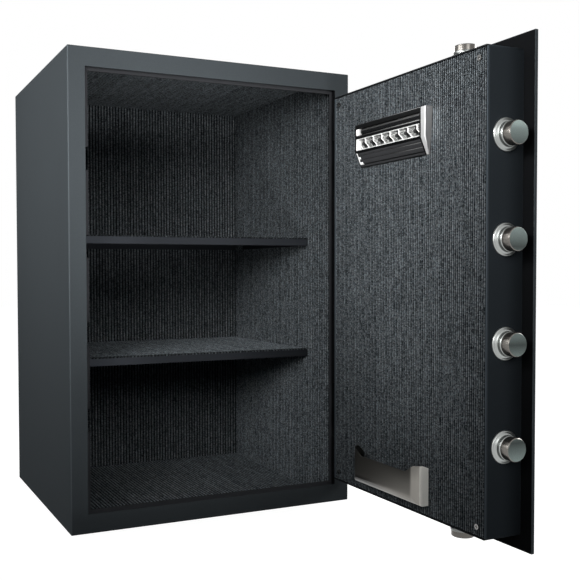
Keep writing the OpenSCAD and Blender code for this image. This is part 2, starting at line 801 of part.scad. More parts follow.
// The lever points to the hinge side and down, as it does with the bolts half way
lever_angle = -45;
module handle() {
  y0 = front_y - 4.5;
  y1 = front_y - handle_out;
  color(nickel) on_door() difference() {
    union() {
      translate([pinion_x, y0, mechanism_z]) rotate([90, 0, 0]) rotate_extrude($fn = round_fn) polygon([
        [0, 0], [hub_r, 0], [hub_r, handle_out - 6], [hub_r - 1.5, handle_out - 4.5], [0, handle_out - 4.5]]);
      translate([pinion_x, y1, mechanism_z]) rotate([0, -lever_angle, 0]) rotate([-90, 0, 0]) hull() {
        cylinder(r = hub_r - 2, h = 14, $fn = small_fn);
        translate([lever_l - 8, 0, 1]) cylinder(r = 8, h = 10, $fn = small_fn);
      }
    }
    rod_y(pinion_x, mechanism_z, spindle_r + turn_gap, y0 - 20, y0 + eps);
  }
}

// Shaft, pinion and the clip on its end
module spindle() {
  y1 = pinion_y + pinion_l;
  color(steel) on_door() {
    rod_y(pinion_x, mechanism_z, spindle_r, front_y - 24, y1 + 4);
    along_y(pinion_y, y1) translate([pinion_x, mechanism_z]) pinion_outline();
    rod_y(pinion_x, mechanism_z, spindle_r + 3, y1 + 1, y1 + 2.5);
  }
}

// Solenoid, its plunger and spring

coil_w = 24;
coil_y0 = layer[1] - 1.5;
coil_y1 = layer[2] + rack_t + 8;
plunger_y = layer[2] + rack_t / 2;
bracket_x = max(plunger_x + coil_w / 2, pinion_x + rack_back + 1);
module solenoid() {
  color("#8a6f3a") on_door() difference() {
    union() {
      block([plunger_x - coil_w / 2, coil_y0, coil_low], [bracket_x + eps, coil_y1, coil_top]);
      block([bracket_x, plate_back, coil_low], [bracket_x + 2, coil_y1, coil_top]);
      block([bracket_x, plate_back, coil_low], [bracket_x + 14, plate_back + 2, coil_top]);
    }
    rod_z(plunger_x, plunger_y, plunger_r + turn_gap, coil_low - eps, coil_top + eps, small_fn);
  }
}

// The plunger goes through the coil, and its washer holds the spring that draws it back
module plunger() {
  low = coil_low - spring_h;
  color(steel) on_door() {
    rod_z(plunger_x, plunger_y, plunger_r, low - 3, plunger_tip, small_fn);
    rod_z(plunger_x, plunger_y, plunger_r + 2.5, low - 1.5, low, small_fn);
  }
}

spring_turns = 5;
spring_wire = 0.5;
module plunger_spring() {
  r = plunger_r + 1.3;
  n = 16 * spring_turns;
  rise = spring_h - 2 * spring_wire;
  path = [for (i = [0:n]) [plunger_x + r * cos(22.5 * i), plunger_y + r * sin(22.5 * i),
    coil_low - spring_h + spring_wire + rise * i / n]];
  color(nickel) on_door() tube(path, spring_wire, 6, [0, 0, 1]);
}

// Control board, batteries and cable

battery_r = 7.1;
battery_l = 50.5;
holder_x = box_rt - 119;
holder_z = mechanism_z + 70;
module battery_holder() {
  w = 4 * 2 * battery_r + 5 + 4;
  color(black) on_door() difference() {
    block([holder_x, plate_back, holder_z], [holder_x + w, plate_back + 12, holder_z + battery_l + 7]);
    block([holder_x + 2, plate_back + 2, holder_z + 2],
      [holder_x + w - 2, plate_back + 13, holder_z + battery_l + 5]);
  }
}
module batteries() {
  color("#a3804a") on_door() for (i = [0:3]) {
    x = holder_x + 3.3 + battery_r + i * (2 * battery_r + 1);
    rod_z(x, plate_back + 2.2 + battery_r, battery_r, holder_z + 2.3, holder_z + 2.3 + battery_l, small_fn);
    rod_z(x, plate_back + 2.2 + battery_r, 2.7, holder_z + 2.3 + battery_l - eps, holder_z + 4.5 + battery_l,
      small_fn);
  }
}

control_w = 100;
control_x = box_rt - control_w - 29;
control_z = mechanism_z - 60;
control_h = 70;
module control_board() {
  y0 = plate_back + 5;
  union() {
    block([control_x, y0, control_z], [control_x + control_w, y0 + board_t, control_z + control_h]);
    for (x = [control_x + 5, control_x + control_w - 5], z = [control_z + 5, control_z + control_h - 5])
      rod_y(x, z, 3, plate_back, y0 + eps, small_fn);
    block([control_x + 20, y0, control_z + 20], [control_x + 38, y0 + board_t + 2.5, control_z + 38]);
    block([control_x + 55, y0, control_z + 12], [control_x + 85, y0 + board_t + 9, control_z + 28]);
    block([control_x + 10, y0, control_z + 50], [control_x + 30, y0 + board_t + 6, control_z + 58]);
  }
}

// One cable runs from the keypad's board through the plate, another from the batteries
cable_hole = [pad_x + 32, 0, pad_b + pad_h - 14];
cable_hole_r = 4;
cable_r = 1.6;
lead_x = holder_x - 8;
lead_y = plate_back + 8;
plug_z = control_z + 58;
keypad_route = [
  [cable_hole.x, board_y + 1, cable_hole.z], [cable_hole.x, plate_back + 2, cable_hole.z],
  [cable_hole.x + 3, plate_back + 6, cable_hole.z - 4], [cable_hole.x + 14, lead_y, cable_hole.z - 22],
  [lead_x - 14, lead_y, holder_z + 40], [lead_x, lead_y, holder_z - 5],
  [control_x + 18, lead_y + 0.5, plug_z + 20], [control_x + 18, lead_y + 0.5, plug_z + 0.2]];
battery_route = [
  [holder_x + 30, lead_y - 2, holder_z - 0.2], [holder_x + 30, lead_y - 2, holder_z - 6],
  [holder_x + 24, lead_y, holder_z - 20], [control_x + 27, lead_y + 0.5, plug_z + 16],
  [control_x + 25, lead_y + 0.5, plug_z + 0.2]];
// A point on a smooth curve through four route points
function curve(a, b, c, d, t) = 0.5 * (2 * b + (c - a) * t + (2 * a - 5 * b + 4 * c - d) * t * t
  + (3 * b - a - 3 * c + d) * t * t * t);
function smooth(p, n) = [for (i = [0:len(p) - 2], k = [0:n - 1])
  curve(p[max(i - 1, 0)], p[i], p[i + 1], p[min(i + 2, len(p) - 1)], k / n), p[len(p) - 1]];
module cables() {
  color(black) on_door() {
    tube(smooth(keypad_route, 4), cable_r, 8, [1, 0, 0.2]);
    tube(smooth(battery_route, 4), cable_r, 8, [1, 0, 0.2]);
  }
}

// Keypad

pad_l = pad_x - pad_w / 2;
pad_r = pad_x + pad_w / 2;
pad_top = pad_b + pad_h;
window_w = 62;
window_h = 20;
window_z = pad_top - 14 - window_h;

module pad_solid(a, b, z0, z1, y0, y1, r) {
  along_y(y0, y1) round_rect([a, z0], [b, z1], r);
}
function key_x(i) = pad_x + (i % 3 - 1) * key_dx;
function key_z(i) = key_z0 + (keys / 3 - 1 - floor(i / 3)) * key_dz;

module keypad_housing() {
  color(black) on_door() difference() {
    pad_solid(pad_l, pad_r, pad_b, pad_top, pad_front, front_y, 8);
    pad_solid(pad_l + pad_t, pad_r - pad_t, pad_b + pad_t, pad_top - pad_t, pad_front + pad_t, front_y + eps, 6);
    for (i = [0:keys - 1]) block(
      [key_x(i) - key_w / 2 - key_gap, pad_front - eps, key_z(i) - key_h / 2 - key_gap],
      [key_x(i) + key_w / 2 + key_gap, pad_front + pad_t + eps, key_z(i) + key_h / 2 + key_gap]);
    block([pad_x - window_w / 2, pad_front - eps, window_z],
      [pad_x + window_w / 2, pad_front + pad_t + eps, window_z + window_h]);
    rod_y(pad_x, lock_z, lock_r + 0.2, pad_front - eps, pad_front + pad_t + eps);
    rod_y(pad_x, lock_z + cover_arm, 1.5 + turn_gap, pad_front - eps, pad_front + pad_t + eps, small_fn);
  }
}

module display_window() {
  color("#101418") on_door() {
    block([pad_x - window_w / 2 + 0.2, pad_front - 0.3, window_z + 0.2],
      [pad_x + window_w / 2 - 0.2, pad_front + pad_t, window_z + window_h - 0.2]);
    block([pad_x - window_w / 2 - 1.5, pad_front + pad_t, window_z - 1.5],
      [pad_x + window_w / 2 + 1.5, pad_front + pad_t + 1, window_z + window_h + 1.5]);
  }
}

// Board with a dome switch under each key, cut clear of the lock
module keypad_board() {
  difference() {
    block([pad_l + pad_t + 0.5, board_y, lock_z + lock_r + 6],
      [pad_r - pad_t - 0.5, board_y + board_t, pad_top - pad_t - 4.5]);
    rod_y(cable_hole.x, cable_hole.z, cable_r + 0.3, board_y - eps, board_y + board_t + eps, small_fn);
  }
  for (i = [0:keys - 1]) rod_y(key_x(i), key_z(i), 3, board_y - 1, board_y + eps, small_fn);
  for (x = [pad_l + 8, pad_r - 8], z = [lock_z + lock_r + 10, pad_top - 9])
    rod_y(x, z, 2.5, board_y + board_t - eps, front_y, small_fn);
}

module circuit_boards() {
  color("#1f5a3a") on_door() {
    control_board();
    keypad_board();
  }
}

// A key: its cap, the rim that holds it in the housing and its stem
key_travel = 1.2;
module key(i) {
  x = key_x(i);
  z = key_z(i);
  y0 = pad_front - key_out;
  rim = pad_front + pad_t + 0.3;
  color("#d6d8d8") on_door() {
    along_y(y0, rim + eps) round_rect([x - key_w / 2, z - key_h / 2], [x + key_w / 2, z + key_h / 2], 2);
    block([x - key_w / 2 - 1, rim, z - key_h / 2 - 1], [x + key_w / 2 + 1, rim + 1.2, z + key_h / 2 + 1]);
    rod_y(x, z, 2, rim, board_y - 1 - key_travel - 0.2, small_fn);
  }
}

// Override lock: body, plug with its key slot and cam, and the cover that swings aside
module key_cylinder() {
  color("#b9a26a") on_door() difference() {
    rod_y(pad_x, lock_z, lock_r, pad_front + 1, plate_back + 24);
    rod_y(pad_x, lock_z, plug_r + turn_gap, pad_front, plate_back + 25);
  }
}

module key_plug() {
  y1 = plate_back + 24;
  color(nickel) on_door() difference() {
    union() {
      rod_y(pad_x, lock_z, plug_r, pad_front + 1, y1 + 1 + eps);
      rod_y(pad_x, lock_z, plug_r + 1, y1 + 1, y1 + 4);
      block([pad_x - 4, y1 + 1, lock_z], [pad_x + 4, y1 + 4, lock_z + 16]);
    }
    block([pad_x - 0.9, pad_front, lock_z - 4], [pad_x + 0.9, pad_front + 14, lock_z + 4]);
  }
}

module key_cover() {
  color(black) on_door() {
    along_y(cover_y - cover_t, cover_y) {
      translate([pad_x, lock_z]) circle(cover_r, $fn = round_fn);
      translate([pad_x - 4, lock_z]) square([8, cover_arm]);
      translate([pad_x, lock_z + cover_arm]) circle(4.5, $fn = small_fn);
    }
    rod_y(pad_x, lock_z + cover_arm, 2.5, cover_y - cover_t - 1, cover_y - cover_t + eps, small_fn);
    rod_y(pad_x, lock_z + cover_arm, 1.5, cover_y - eps, pad_front + pad_t + 2, small_fn);
  }
}

// Lamp

lamp_top = box_top - lamp_in;
lamp_b = lamp_top - lamp_h;
lamp_end = 8.3;
cup_dx = (lamp_w - lamp_end - 12) / lamp_cups;
cup_h = 7.2;
cup_z = lamp_top - lamp_face + 1 + cup_h;
lamp_face_y = door_face + lamp_d;
function cup_x(i) = -lamp_w / 2 + lamp_end + 4 + cup_dx * (i + 0.5);

module lamp_profile(inset) {
  polygon([[door_face, lamp_top - inset], [lamp_face_y - inset, lamp_top - inset],
    [lamp_face_y - inset, lamp_top - lamp_face], [door_face + 1.5, lamp_b + inset], [door_face, lamp_b + inset]]);
}

module lamp_housing() {
  color(black) on_door() difference() {
    along_x(-lamp_w / 2 + lamp_end, lamp_w / 2 - 1) lamp_profile(0);
    block([cup_x(0) - cup_dx / 2 - 1, lamp_face_y - 6, cup_z - cup_h - 0.2],
      [cup_x(lamp_cups - 1) + cup_dx / 2 + 1, lamp_face_y + eps, cup_z + cup_h + 0.2]);
  }
}

module lamp_reflector() {
  color("silver") on_door() difference() {
    block([cup_x(0) - cup_dx / 2 - 0.8, lamp_face_y - 5.8, cup_z - cup_h],
      [cup_x(lamp_cups - 1) + cup_dx / 2 + 0.8, lamp_face_y - 0.6, cup_z + cup_h]);
    for (i = [0:lamp_cups - 1]) translate([cup_x(i), lamp_face_y - 4.6, cup_z]) rotate([-90, 0, 0])
      cylinder(r1 = 3.4, r2 = cup_h - 0.4, h = 4.1, $fn = small_fn);
  }
}

module lamp_leds() {
  color("white") on_door() for (i = [0:lamp_cups - 1]) {
    rod_y(cup_x(i), cup_z, 2.5, lamp_face_y - 4.6, lamp_face_y - 2, small_fn);
    translate([cup_x(i), lamp_face_y - 2, cup_z]) sphere(2.5, $fn = small_fn);
  }
}

// Bright end caps of the lamp
module lamp_trim() {
  color("silver") on_door() {
    along_x(-lamp_w / 2, -lamp_w / 2 + lamp_end) lamp_profile(0);
    along_x(lamp_w / 2 - 1, lamp_w / 2) lamp_profile(0);
  }
}

// Document pocket: a curved sheet, closed at its ends and bottom

module doc_space(inset) {
  a = [-doc_w / 2 + inset, door_face - 20];
  b = [doc_w / 2 - inset, door_face + doc_d - inset];
  bottom = doc_z + inset;
  intersection() {
    translate([0, 0, bottom]) linear_extrude(doc_h + eps - inset) round_rect(a, b, 10 - inset);
    along_x(-doc_w / 2, doc_w / 2) round_rect([door_face - 40, bottom], [b.y, doc_z + doc_h + 40], 12 - inset);
  }
}

module document_pocket() {
  top = doc_z + doc_h;
  y1 = door_face + doc_d + 1;
  reach = doc_w / 2;
  color(nickel) on_door() difference() {
    doc_space(0);
    doc_space(doc_t);
    block([-doc_w, door_face - 60, 0], [doc_w, door_face, top + 50]);
    block([-doc_w, door_face, top], [doc_w, y1, top + 50]);
    along_y(door_face + 6, y1) polygon([[-reach + 4, top + 1], [-reach + 20, top - doc_notch],
      [reach - 20, top - doc_notch], [reach - 4, top + 1]]);
  }
}

module key_1() { key(0); }
module key_2() { key(1); }
module key_3() { key(2); }
module key_4() { key(3); }
module key_5() { key(4); }
module key_6() { key(5); }
module key_7() { key(6); }
module key_8() { key(7); }
module key_9() { key(8); }
module key_10() { key(9); }
module key_11() { key(10); }
module key_12() { key(11); }

outer_shell();
rear_panel();
front_frame();
hinge_side_liner();
hinge_pockets();
side_carpets();
rear_carpet();
ceiling_carpet();
floor_carpet();
upper_shelf();
lower_shelf();
shelf_mats();
shelf_supports();
body_knuckles();
hinge_pins();
door_plate();
door_knuckles();
door_box();
back_panel();
panel_carpet();
panel_screws();
bolt_collars();
rod_guides();
spindle_bush();
handle_rose();
solenoid();
battery_holder();
batteries();
circuit_boards();
cables();
keypad_housing();
display_window();
key_cylinder();
lamp_housing();
lamp_reflector();
lamp_leds();
lamp_trim();
document_pocket();
side_bolts();
bolt_carrier();
top_bolt();
bottom_bolt();
handle();
spindle();
plunger();
plunger_spring();
key_plug();
key_cover();
key_1();
key_2();
key_3();
key_4();
key_5();
key_6();
key_7();
key_8();
key_9();
key_10();
key_11();
key_12();
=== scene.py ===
"""Electronic safe with its door open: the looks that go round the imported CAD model.

Lengths are millimetres, apart from the studio's, which are metres. A piece of the door is drawn as if
the door were shut, in the same axes as the body, and Place.DOOR swings it to where it stands at rest.
"""
from __future__ import annotations

import logging
import math
from dataclasses import dataclass
from enum import Enum
from typing import Callable, Iterable, Sequence

import bmesh
import bpy
import numpy as np
from mathutils import Euler, Matrix, Vector

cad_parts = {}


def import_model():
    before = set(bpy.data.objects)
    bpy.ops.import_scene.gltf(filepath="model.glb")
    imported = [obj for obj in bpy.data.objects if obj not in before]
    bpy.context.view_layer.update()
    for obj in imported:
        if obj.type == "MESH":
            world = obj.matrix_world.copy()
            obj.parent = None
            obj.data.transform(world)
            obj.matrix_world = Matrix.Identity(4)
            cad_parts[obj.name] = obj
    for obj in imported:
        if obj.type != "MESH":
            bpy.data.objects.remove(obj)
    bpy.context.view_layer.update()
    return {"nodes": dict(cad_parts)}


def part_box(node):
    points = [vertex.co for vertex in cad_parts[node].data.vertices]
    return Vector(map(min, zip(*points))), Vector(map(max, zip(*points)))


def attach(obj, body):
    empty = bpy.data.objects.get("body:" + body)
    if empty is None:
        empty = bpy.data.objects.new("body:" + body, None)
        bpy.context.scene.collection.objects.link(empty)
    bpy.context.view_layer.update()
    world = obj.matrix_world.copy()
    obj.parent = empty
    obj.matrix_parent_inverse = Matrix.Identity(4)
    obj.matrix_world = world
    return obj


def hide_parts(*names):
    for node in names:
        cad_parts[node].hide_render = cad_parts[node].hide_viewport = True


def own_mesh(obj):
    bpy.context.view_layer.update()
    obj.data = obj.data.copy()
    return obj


LOG = logging.getLogger("safe")
MM = 0.001
PHOTO_PIXELS = 580
# A bevel's steps, and how many degrees an edge turns at least to get one
EDGE_STEPS, EDGE_ANGLE = 2, 32.0
# The hinge pins' axis in the row frame; the open door has turned by 90 degrees about it
HINGE_X, HINGE_Y = 190.0, -153.0
# The lamp's first light along the shut door, and the pitch of the lights
FIRST_LIGHT, LIGHT_PITCH = -48.96, 17.1

Colour = tuple[float, float, float]
Point = tuple[float, float, float]
Flat = tuple[float, float]
BMesh = bmesh.types.BMesh
BMVert = bmesh.types.BMVert


# Placing


class Place(Enum):
    """Where the drawing axes of a piece lie in the row frame, at rest."""

    BODY = "body"
    DOOR = "door"

    @property
    def matrix(self) -> Matrix:
        """The step from drawing millimetres to the row frame's metres.

        Returns:
            The matrix.
        """
        scale = Matrix.Scale(MM, 4)
        if self is Place.BODY:
            return scale
        turn = ((0, -1, 0, HINGE_X + HINGE_Y), (1, 0, 0, HINGE_Y - HINGE_X), (0, 0, 1, 0), (0, 0, 0, 1))
        return scale @ Matrix(turn)


class Axis(Enum):
    """An axis of the row frame."""

    X = 0
    Y = 1
    Z = 2


# Shader maths


class Sock:
    """A shader socket that takes part in Python sums."""

    def __init__(self, shader: Shader, socket: bpy.types.NodeSocket) -> None:
        """Keeps the socket with the shader that its sums go to."""
        self.shader = shader
        self.socket = socket

    @property
    def is_vector(self) -> bool:
        """True for colours and vectors, which go through Vector Math."""
        return self.socket.type in ("VECTOR", "RGBA")

    def _sum(self, operation: str, first: Term, second: Term) -> Sock:
        """Adds the node of one operation.

        Args:
            operation: name of the Math or Vector Math operation.
            first: left side.
            second: right side.

        Returns:
            The node's result.
        """
        if self.is_vector or (isinstance(second, Sock) and second.is_vector):
            if operation == "MULTIPLY" and not _vectorial(second):
                return self.shader.node("ShaderNodeVectorMath", {"operation": "SCALE"},
                                        {0: first, "Scale": second}, "Vector")
            return self.shader.node("ShaderNodeVectorMath", {"operation": operation},
                                    {0: first, 1: second}, "Vector")
        return self.shader.node("ShaderNodeMath", {"operation": operation}, {0: first, 1: second})

    def __add__(self, other: Term) -> Sock:
        """self + other."""
        return self._sum("ADD", self, other)

    def __radd__(self, other: Term) -> Sock:
        """other + self."""
        return self._sum("ADD", other, self)

    def __sub__(self, other: Term) -> Sock:
        """self - other."""
        return self._sum("SUBTRACT", self, other)

    def __rsub__(self, other: Term) -> Sock:
        """other - self."""
        return self._sum("SUBTRACT", other, self)

    def __mul__(self, other: Term) -> Sock:
        """self * other."""
        return self._sum("MULTIPLY", self, other)

    def __rmul__(self, other: Term) -> Sock:
        """other * self."""
        return self._sum("MULTIPLY", self, other)

    def __truediv__(self, other: Term) -> Sock:
        """self / other."""
        return self._sum("DIVIDE", self, other)

    def __pow__(self, other: Term) -> Sock:
        """self ** other."""
        return self._sum("POWER", self, other)

    def unary(self, operation: str) -> Sock:
        """One of the Math operations with a single input, such as FLOOR or FRACT."""
        return self.shader.node("ShaderNodeMath", {"operation": operation}, {0: self})

    def clamp(self) -> Sock:
        """The value held between 0 and 1."""
        return self.shader.node("ShaderNodeClamp", {}, {"Value": self})

    def step(self, low: float, high: float) -> Sock:
        """0 below low, 1 above high, smooth between.

        Args:
            low: where the step starts.
            high: where the step ends.

        Returns:
            The stepped value.
        """
        return self.shader.node("ShaderNodeMapRange", {"interpolation_type": "SMOOTHSTEP"},
                                {"Value": self, "From Min": low, "From Max": high})


Term = Sock | float | tuple[float, ...]


def _vectorial(term: Term) -> bool:
    """True if the term is a vector or colour rather than a number."""
    return term.is_vector if isinstance(term, Sock) else isinstance(term, tuple)


class Shader:
    """A material made of nodes, with one Principled surface."""

    def __init__(self, name: str) -> None:
        """Starts an empty material.

        Args:
            name: its name.
        """
        self.material = bpy.data.materials.new(name)
        self.material.use_nodes = True
        self.tree = self.material.node_tree
        self.tree.nodes.clear()

    def node(self, kind: str, settings: dict[str, object] | None = None,
             sockets: dict[str | int, Term] | None = None, output: str | int = 0) -> Sock:
        """Adds any node.

        Args:
            kind: the node's type name.
            settings: its properties, set before the sockets.
            sockets: values or links of its inputs, by name or place.
            output: which output is handed back.

        Returns:
            That output.
        """
        made = self.tree.nodes.new(kind)
        for name, value in (settings or {}).items():
            setattr(made, name, value)
        for key, term in (sockets or {}).items():
            self.feed(made.inputs[key], term)
        return Sock(self, made.outputs[output])

    def feed(self, target: bpy.types.NodeSocket, term: Term) -> None:
        """Links a socket, or sets its value.

        Args:
            target: the input socket.
            term: an output, a number, or a colour or vector.
        """
        if isinstance(term, Sock):
            self.tree.links.new(term.socket, target)
        elif isinstance(term, tuple) and target.type == "RGBA" and len(term) == 3:
            target.default_value = (*term, 1.0)
        elif isinstance(term, (int, float)) and target.type in ("VECTOR", "RGBA"):
            target.default_value = (term,) * len(target.default_value)
        else:
            target.default_value = term

    def place(self) -> Sock:
        """The point on the piece, in metres of the row frame at rest."""
        return self.node("ShaderNodeTexCoord", output="Object")

    def parts(self, point: Sock) -> tuple[Sock, Sock, Sock]:
        """A point's three numbers, in mm."""
        split = self.node("ShaderNodeSeparateXYZ", sockets={0: point}).socket.node
        return tuple(Sock(self, out) / MM for out in split.outputs)

    def vector(self, x: Term, y: Term, z: Term) -> Sock:
        """A vector made of three numbers."""
        return self.node("ShaderNodeCombineXYZ", sockets={0: x, 1: y, 2: z})

    def noise(self, where: Term, scale: float, detail: float = 2.0, roughness: float = 0.5) -> Sock:
        """Smooth noise around 0.5.

        Args:
            where: the point that it is read at.
            scale: waves per metre.
            detail: octaves.
            roughness: strength of the finer octaves.

        Returns:
            The noise.
        """
        return self.node("ShaderNodeTexNoise", {},
                         {"Vector": where, "Scale": scale, "Detail": detail, "Roughness": roughness})

    def random(self, where: Sock) -> Sock:
        """A random number from 0 to 1 for each whole-numbered cell."""
        return self.node("ShaderNodeTexWhiteNoise", {"noise_dimensions": "3D"}, {"Vector": where}, "Value")

    def mix(self, factor: Term, first: Term, second: Term) -> Sock:
        """A colour between two colours.

        Args:
            factor: 0 gives first, 1 gives second.
            first: a colour.
            second: a colour.

        Returns:
            The mixed colour.
        """
        made = self.node("ShaderNodeMix", {"data_type": "RGBA"}).socket.node
        for key, term in ((0, factor), (6, first), (7, second)):
            self.feed(made.inputs[key], term)
        return Sock(self, made.outputs[2])

    def colour(self, value: Colour) -> Sock:
        """A colour that can take part in sums."""
        return self.mix(1.0, (0, 0, 0), value)

    def bump(self, height: Sock, depth_mm: float) -> Sock:
        """A normal that shows a height from 0 to 1 as so many millimetres."""
        return self.node("ShaderNodeBump", {},
                         {"Height": height, "Distance": depth_mm * MM, "Strength": 1.0})

    def edges(self, radius_mm: float) -> Sock:
        """1 on the edges of a piece and 0 on its faces.

        Args:
            radius_mm: how far the edge reaches into the faces.

        Returns:
            The mask.
        """
        rounded = self.node("ShaderNodeBevel", {"samples": 4}, {"Radius": radius_mm * MM})
        flat = self.node("ShaderNodeNewGeometry", output="Normal")
        along = self.node("ShaderNodeVectorMath", {"operation": "DOT_PRODUCT"},
                          {0: rounded, 1: flat}, "Value")
        return (1 - along).step(0.01, 0.25)

    def finish(self, **inputs: Term) -> bpy.types.Material:
        """Closes the material with a Principled surface.

        Args:
            **inputs: its inputs, with an underscore for each space in their names.

        Returns:
            The material.
        """
        named = {name.replace("_", " "): term for name, term in inputs.items()}
        surface = self.node("ShaderNodeBsdfPrincipled", {}, named)
        self.node_output(surface)
        return self.material

    def node_output(self, surface: Sock) -> None:
        """Links a surface to the material's output."""
        end = self.tree.nodes.new("ShaderNodeOutputMaterial")
        self.tree.links.new(surface.socket, end.inputs["Surface"])


# Finishes


@dataclass(frozen=True)
class Finish:
    """What a piece is finished with: its material's name, its slot and its surface."""

    name: str
    slot: str

    def inputs(self, s: Shader, at: Sock) -> dict[str, Term]:
        """Works out the surface.

        Args:
            s: the shader that the nodes go in.
            at: the point on the piece, in metres.

        Returns:
            What Shader.finish takes.
        """
        raise NotImplementedError

    def build(self) -> bpy.types.Material:
        """Makes the material."""
        s = Shader(self.name)
        return s.finish(**self.inputs(s, s.place()))


def toned(colour: Colour, factor: float, lift: float = 0.0) -> Colour:
    """A colour times a factor and lifted a little, no lighter than white."""
    return tuple(min(1.0, factor * c + lift) for c in colour)


def stretch(axis: Axis, along: float, across: float) -> Point:
    """Factors that squeeze noise by one amount along an axis and by another across it."""
    return tuple(along if each is axis else across for each in Axis)


@dataclass(frozen=True)
class PowderPaint(Finish):
    """Baked powder paint: fine orange peel, and edges lighter, partly wear and partly a painted highlight.
    """

    colour: Colour
    roughness: float = 0.62
    peel: float = 0.09
    specular: float = 0.002
    # The near black of the painted shadows
    shadow_black: Colour = (0.006, 0.0064, 0.007)

    def painted_shadow(self, x: Sock, z: Sock) -> Term:
        """Where a painted shadow makes the paint near black at x and z in mm, from 0 to 1."""
        return 0.0

    def painted_light(self, x: Sock, z: Sock) -> Term:
        """How much lighter or darker the paint is painted at x and z in mm, as painted light and shade."""
        return 1.0

    def inputs(self, s: Shader, at: Sock) -> dict[str, Term]:
        """See Finish.inputs."""
        x, _, z = s.parts(at)
        fine, broad, grain = s.noise(at, 900.0, 3.0, 0.65), s.noise(at, 14.0), s.noise(at, 2600.0, 1.0)
        tone = 0.84 + 0.24 * fine + 0.08 * broad
        # Edges lighter: partly wear, partly a painted highlight
        wear_and_highlight = s.edges(0.8) * (0.35 + 0.65 * s.noise(at, 160.0, 3.0).step(0.3, 0.75))
        shadowed = s.mix(self.painted_shadow(x, z), self.colour, self.shadow_black)
        colour = s.mix(wear_and_highlight * 0.5, shadowed * (tone * self.painted_light(x, z)), toned(self.colour, 1.7, 0.02))
        rough = self.roughness + 0.12 * (fine - 0.5) + 0.08 * (broad - 0.5)
        return dict(Base_Color=colour, Roughness=rough, Normal=s.bump(fine * 0.7 + grain * 0.3, self.peel),
                    Specular_IOR_Level=self.specular)


@dataclass(frozen=True)
class PlatePaint(PowderPaint):
    """The door plate's paint, with its inner side painted near black as painted shade."""

    inner_side: float = 198.1

    def painted_shadow(self, x: Sock, z: Sock) -> Term:
        """See PowderPaint.unpainted."""
        # Painted shade: the inner side near black
        return 1 - x.step(self.inner_side - 0.1, self.inner_side)


@dataclass(frozen=True)
class BoxPaint(PowderPaint):
    """The door box's paint: a painted shadow on the rim above and below the panel, a painted highlight
    on the rim's bend, and painted shade further out towards the plate.
    """

    rim: float = 150.5
    ends: Flat = (46.5, 553.5)

    def painted_shadow(self, x: Sock, z: Sock) -> Term:
        """See PowderPaint.unpainted."""
        low, high = self.ends
        ends = z.step(high - 0.2, high) + (1 - z.step(low, low + 0.2))
        # Painted shadow: the rim's face near black above and below the panel
        return (1 - x.step(self.rim + 1.5, self.rim + 2.5)) * ends

    def painted_light(self, x: Sock, z: Sock) -> Term:
        """See PowderPaint.dusk."""
        out = x - self.rim
        # Painted highlight on the rim's bend, painted shade further out towards the plate
        return 1.6 - 0.75 * out.step(1.2, 3.0) - 0.35 * out.step(20, 46)


@dataclass(frozen=True)
class ShellPaint(PowderPaint):
    """The body's paint, with painted light: the side darker low down; the front darker to the right and at
    its foot and lighter at middle height; a painted shadow line on the jamb edge by the hinge; and a
    painted highlight on the front corner by the free side.
    """

    def painted_light(self, x: Sock, z: Sock) -> Term:
        """See PowderPaint.dusk."""
        inside = x.step(-199.8, -199.2)
        # Painted shade: the side darker low down
        side = 1 - 0.17 * (1 - z.step(60, 460))
        # Painted light: the front darker to the right and at its foot, lighter at middle height
        front = ((1 - 0.24 * x.step(-110, 190)) * (1.06 + 0.14 * z.step(20, 220) * (1 - z.step(430, 590)))
                 * (1 - 0.24 * (1 - z.step(12, 40))))
        # Painted shadow: a dark line on the jamb edge by the hinge
        edge = (x.step(177.6, 177.9) * (1 - x.step(178.05, 178.3))
                * z.step(24.0, 24.5) * (1 - z.step(575.5, 576.0)))
        # Painted highlight on the front corner by the free side
        edge_highlight = x.step(-199.95, -199.85) * (1 - x.step(-198.8, -198.3))
        return (side + (front - side) * inside) * (1 - 0.88 * edge) * (1 + 0.6 * edge_highlight)


@dataclass(frozen=True)
class FlangePaint(PowderPaint):
    """The flange's paint: painted lighter on the free side and painted darker on the hinge side, as painted
    light and shade.
    """

    def painted_light(self, x: Sock, z: Sock) -> Term:
        """See PowderPaint.dusk."""
        # Painted light on the free side, painted shade on the hinge side
        return 1 + 1.3 * (1 - x.step(-186, -172)) - 0.86 * x.step(174, 177.5)


@dataclass(frozen=True)
class ShelfPaint(PowderPaint):
    """The shelves' paint, painted lighter at their left end and darker to the right, more so on the lower
    shelf, as painted light.
    """

    def painted_light(self, x: Sock, z: Sock) -> Term:
        """See PowderPaint.dusk."""
        # Painted light: lighter at the left, darker to the right
        lower = 1 - z.step(260, 300)
        return (1 + 1.2 * (1 - x.step(-180, -55)) - 0.16 * x.step(30, 110)
                + lower * (0.6 * (1 - x.step(-180, 20)) - 0.25 * x.step(40, 170)))


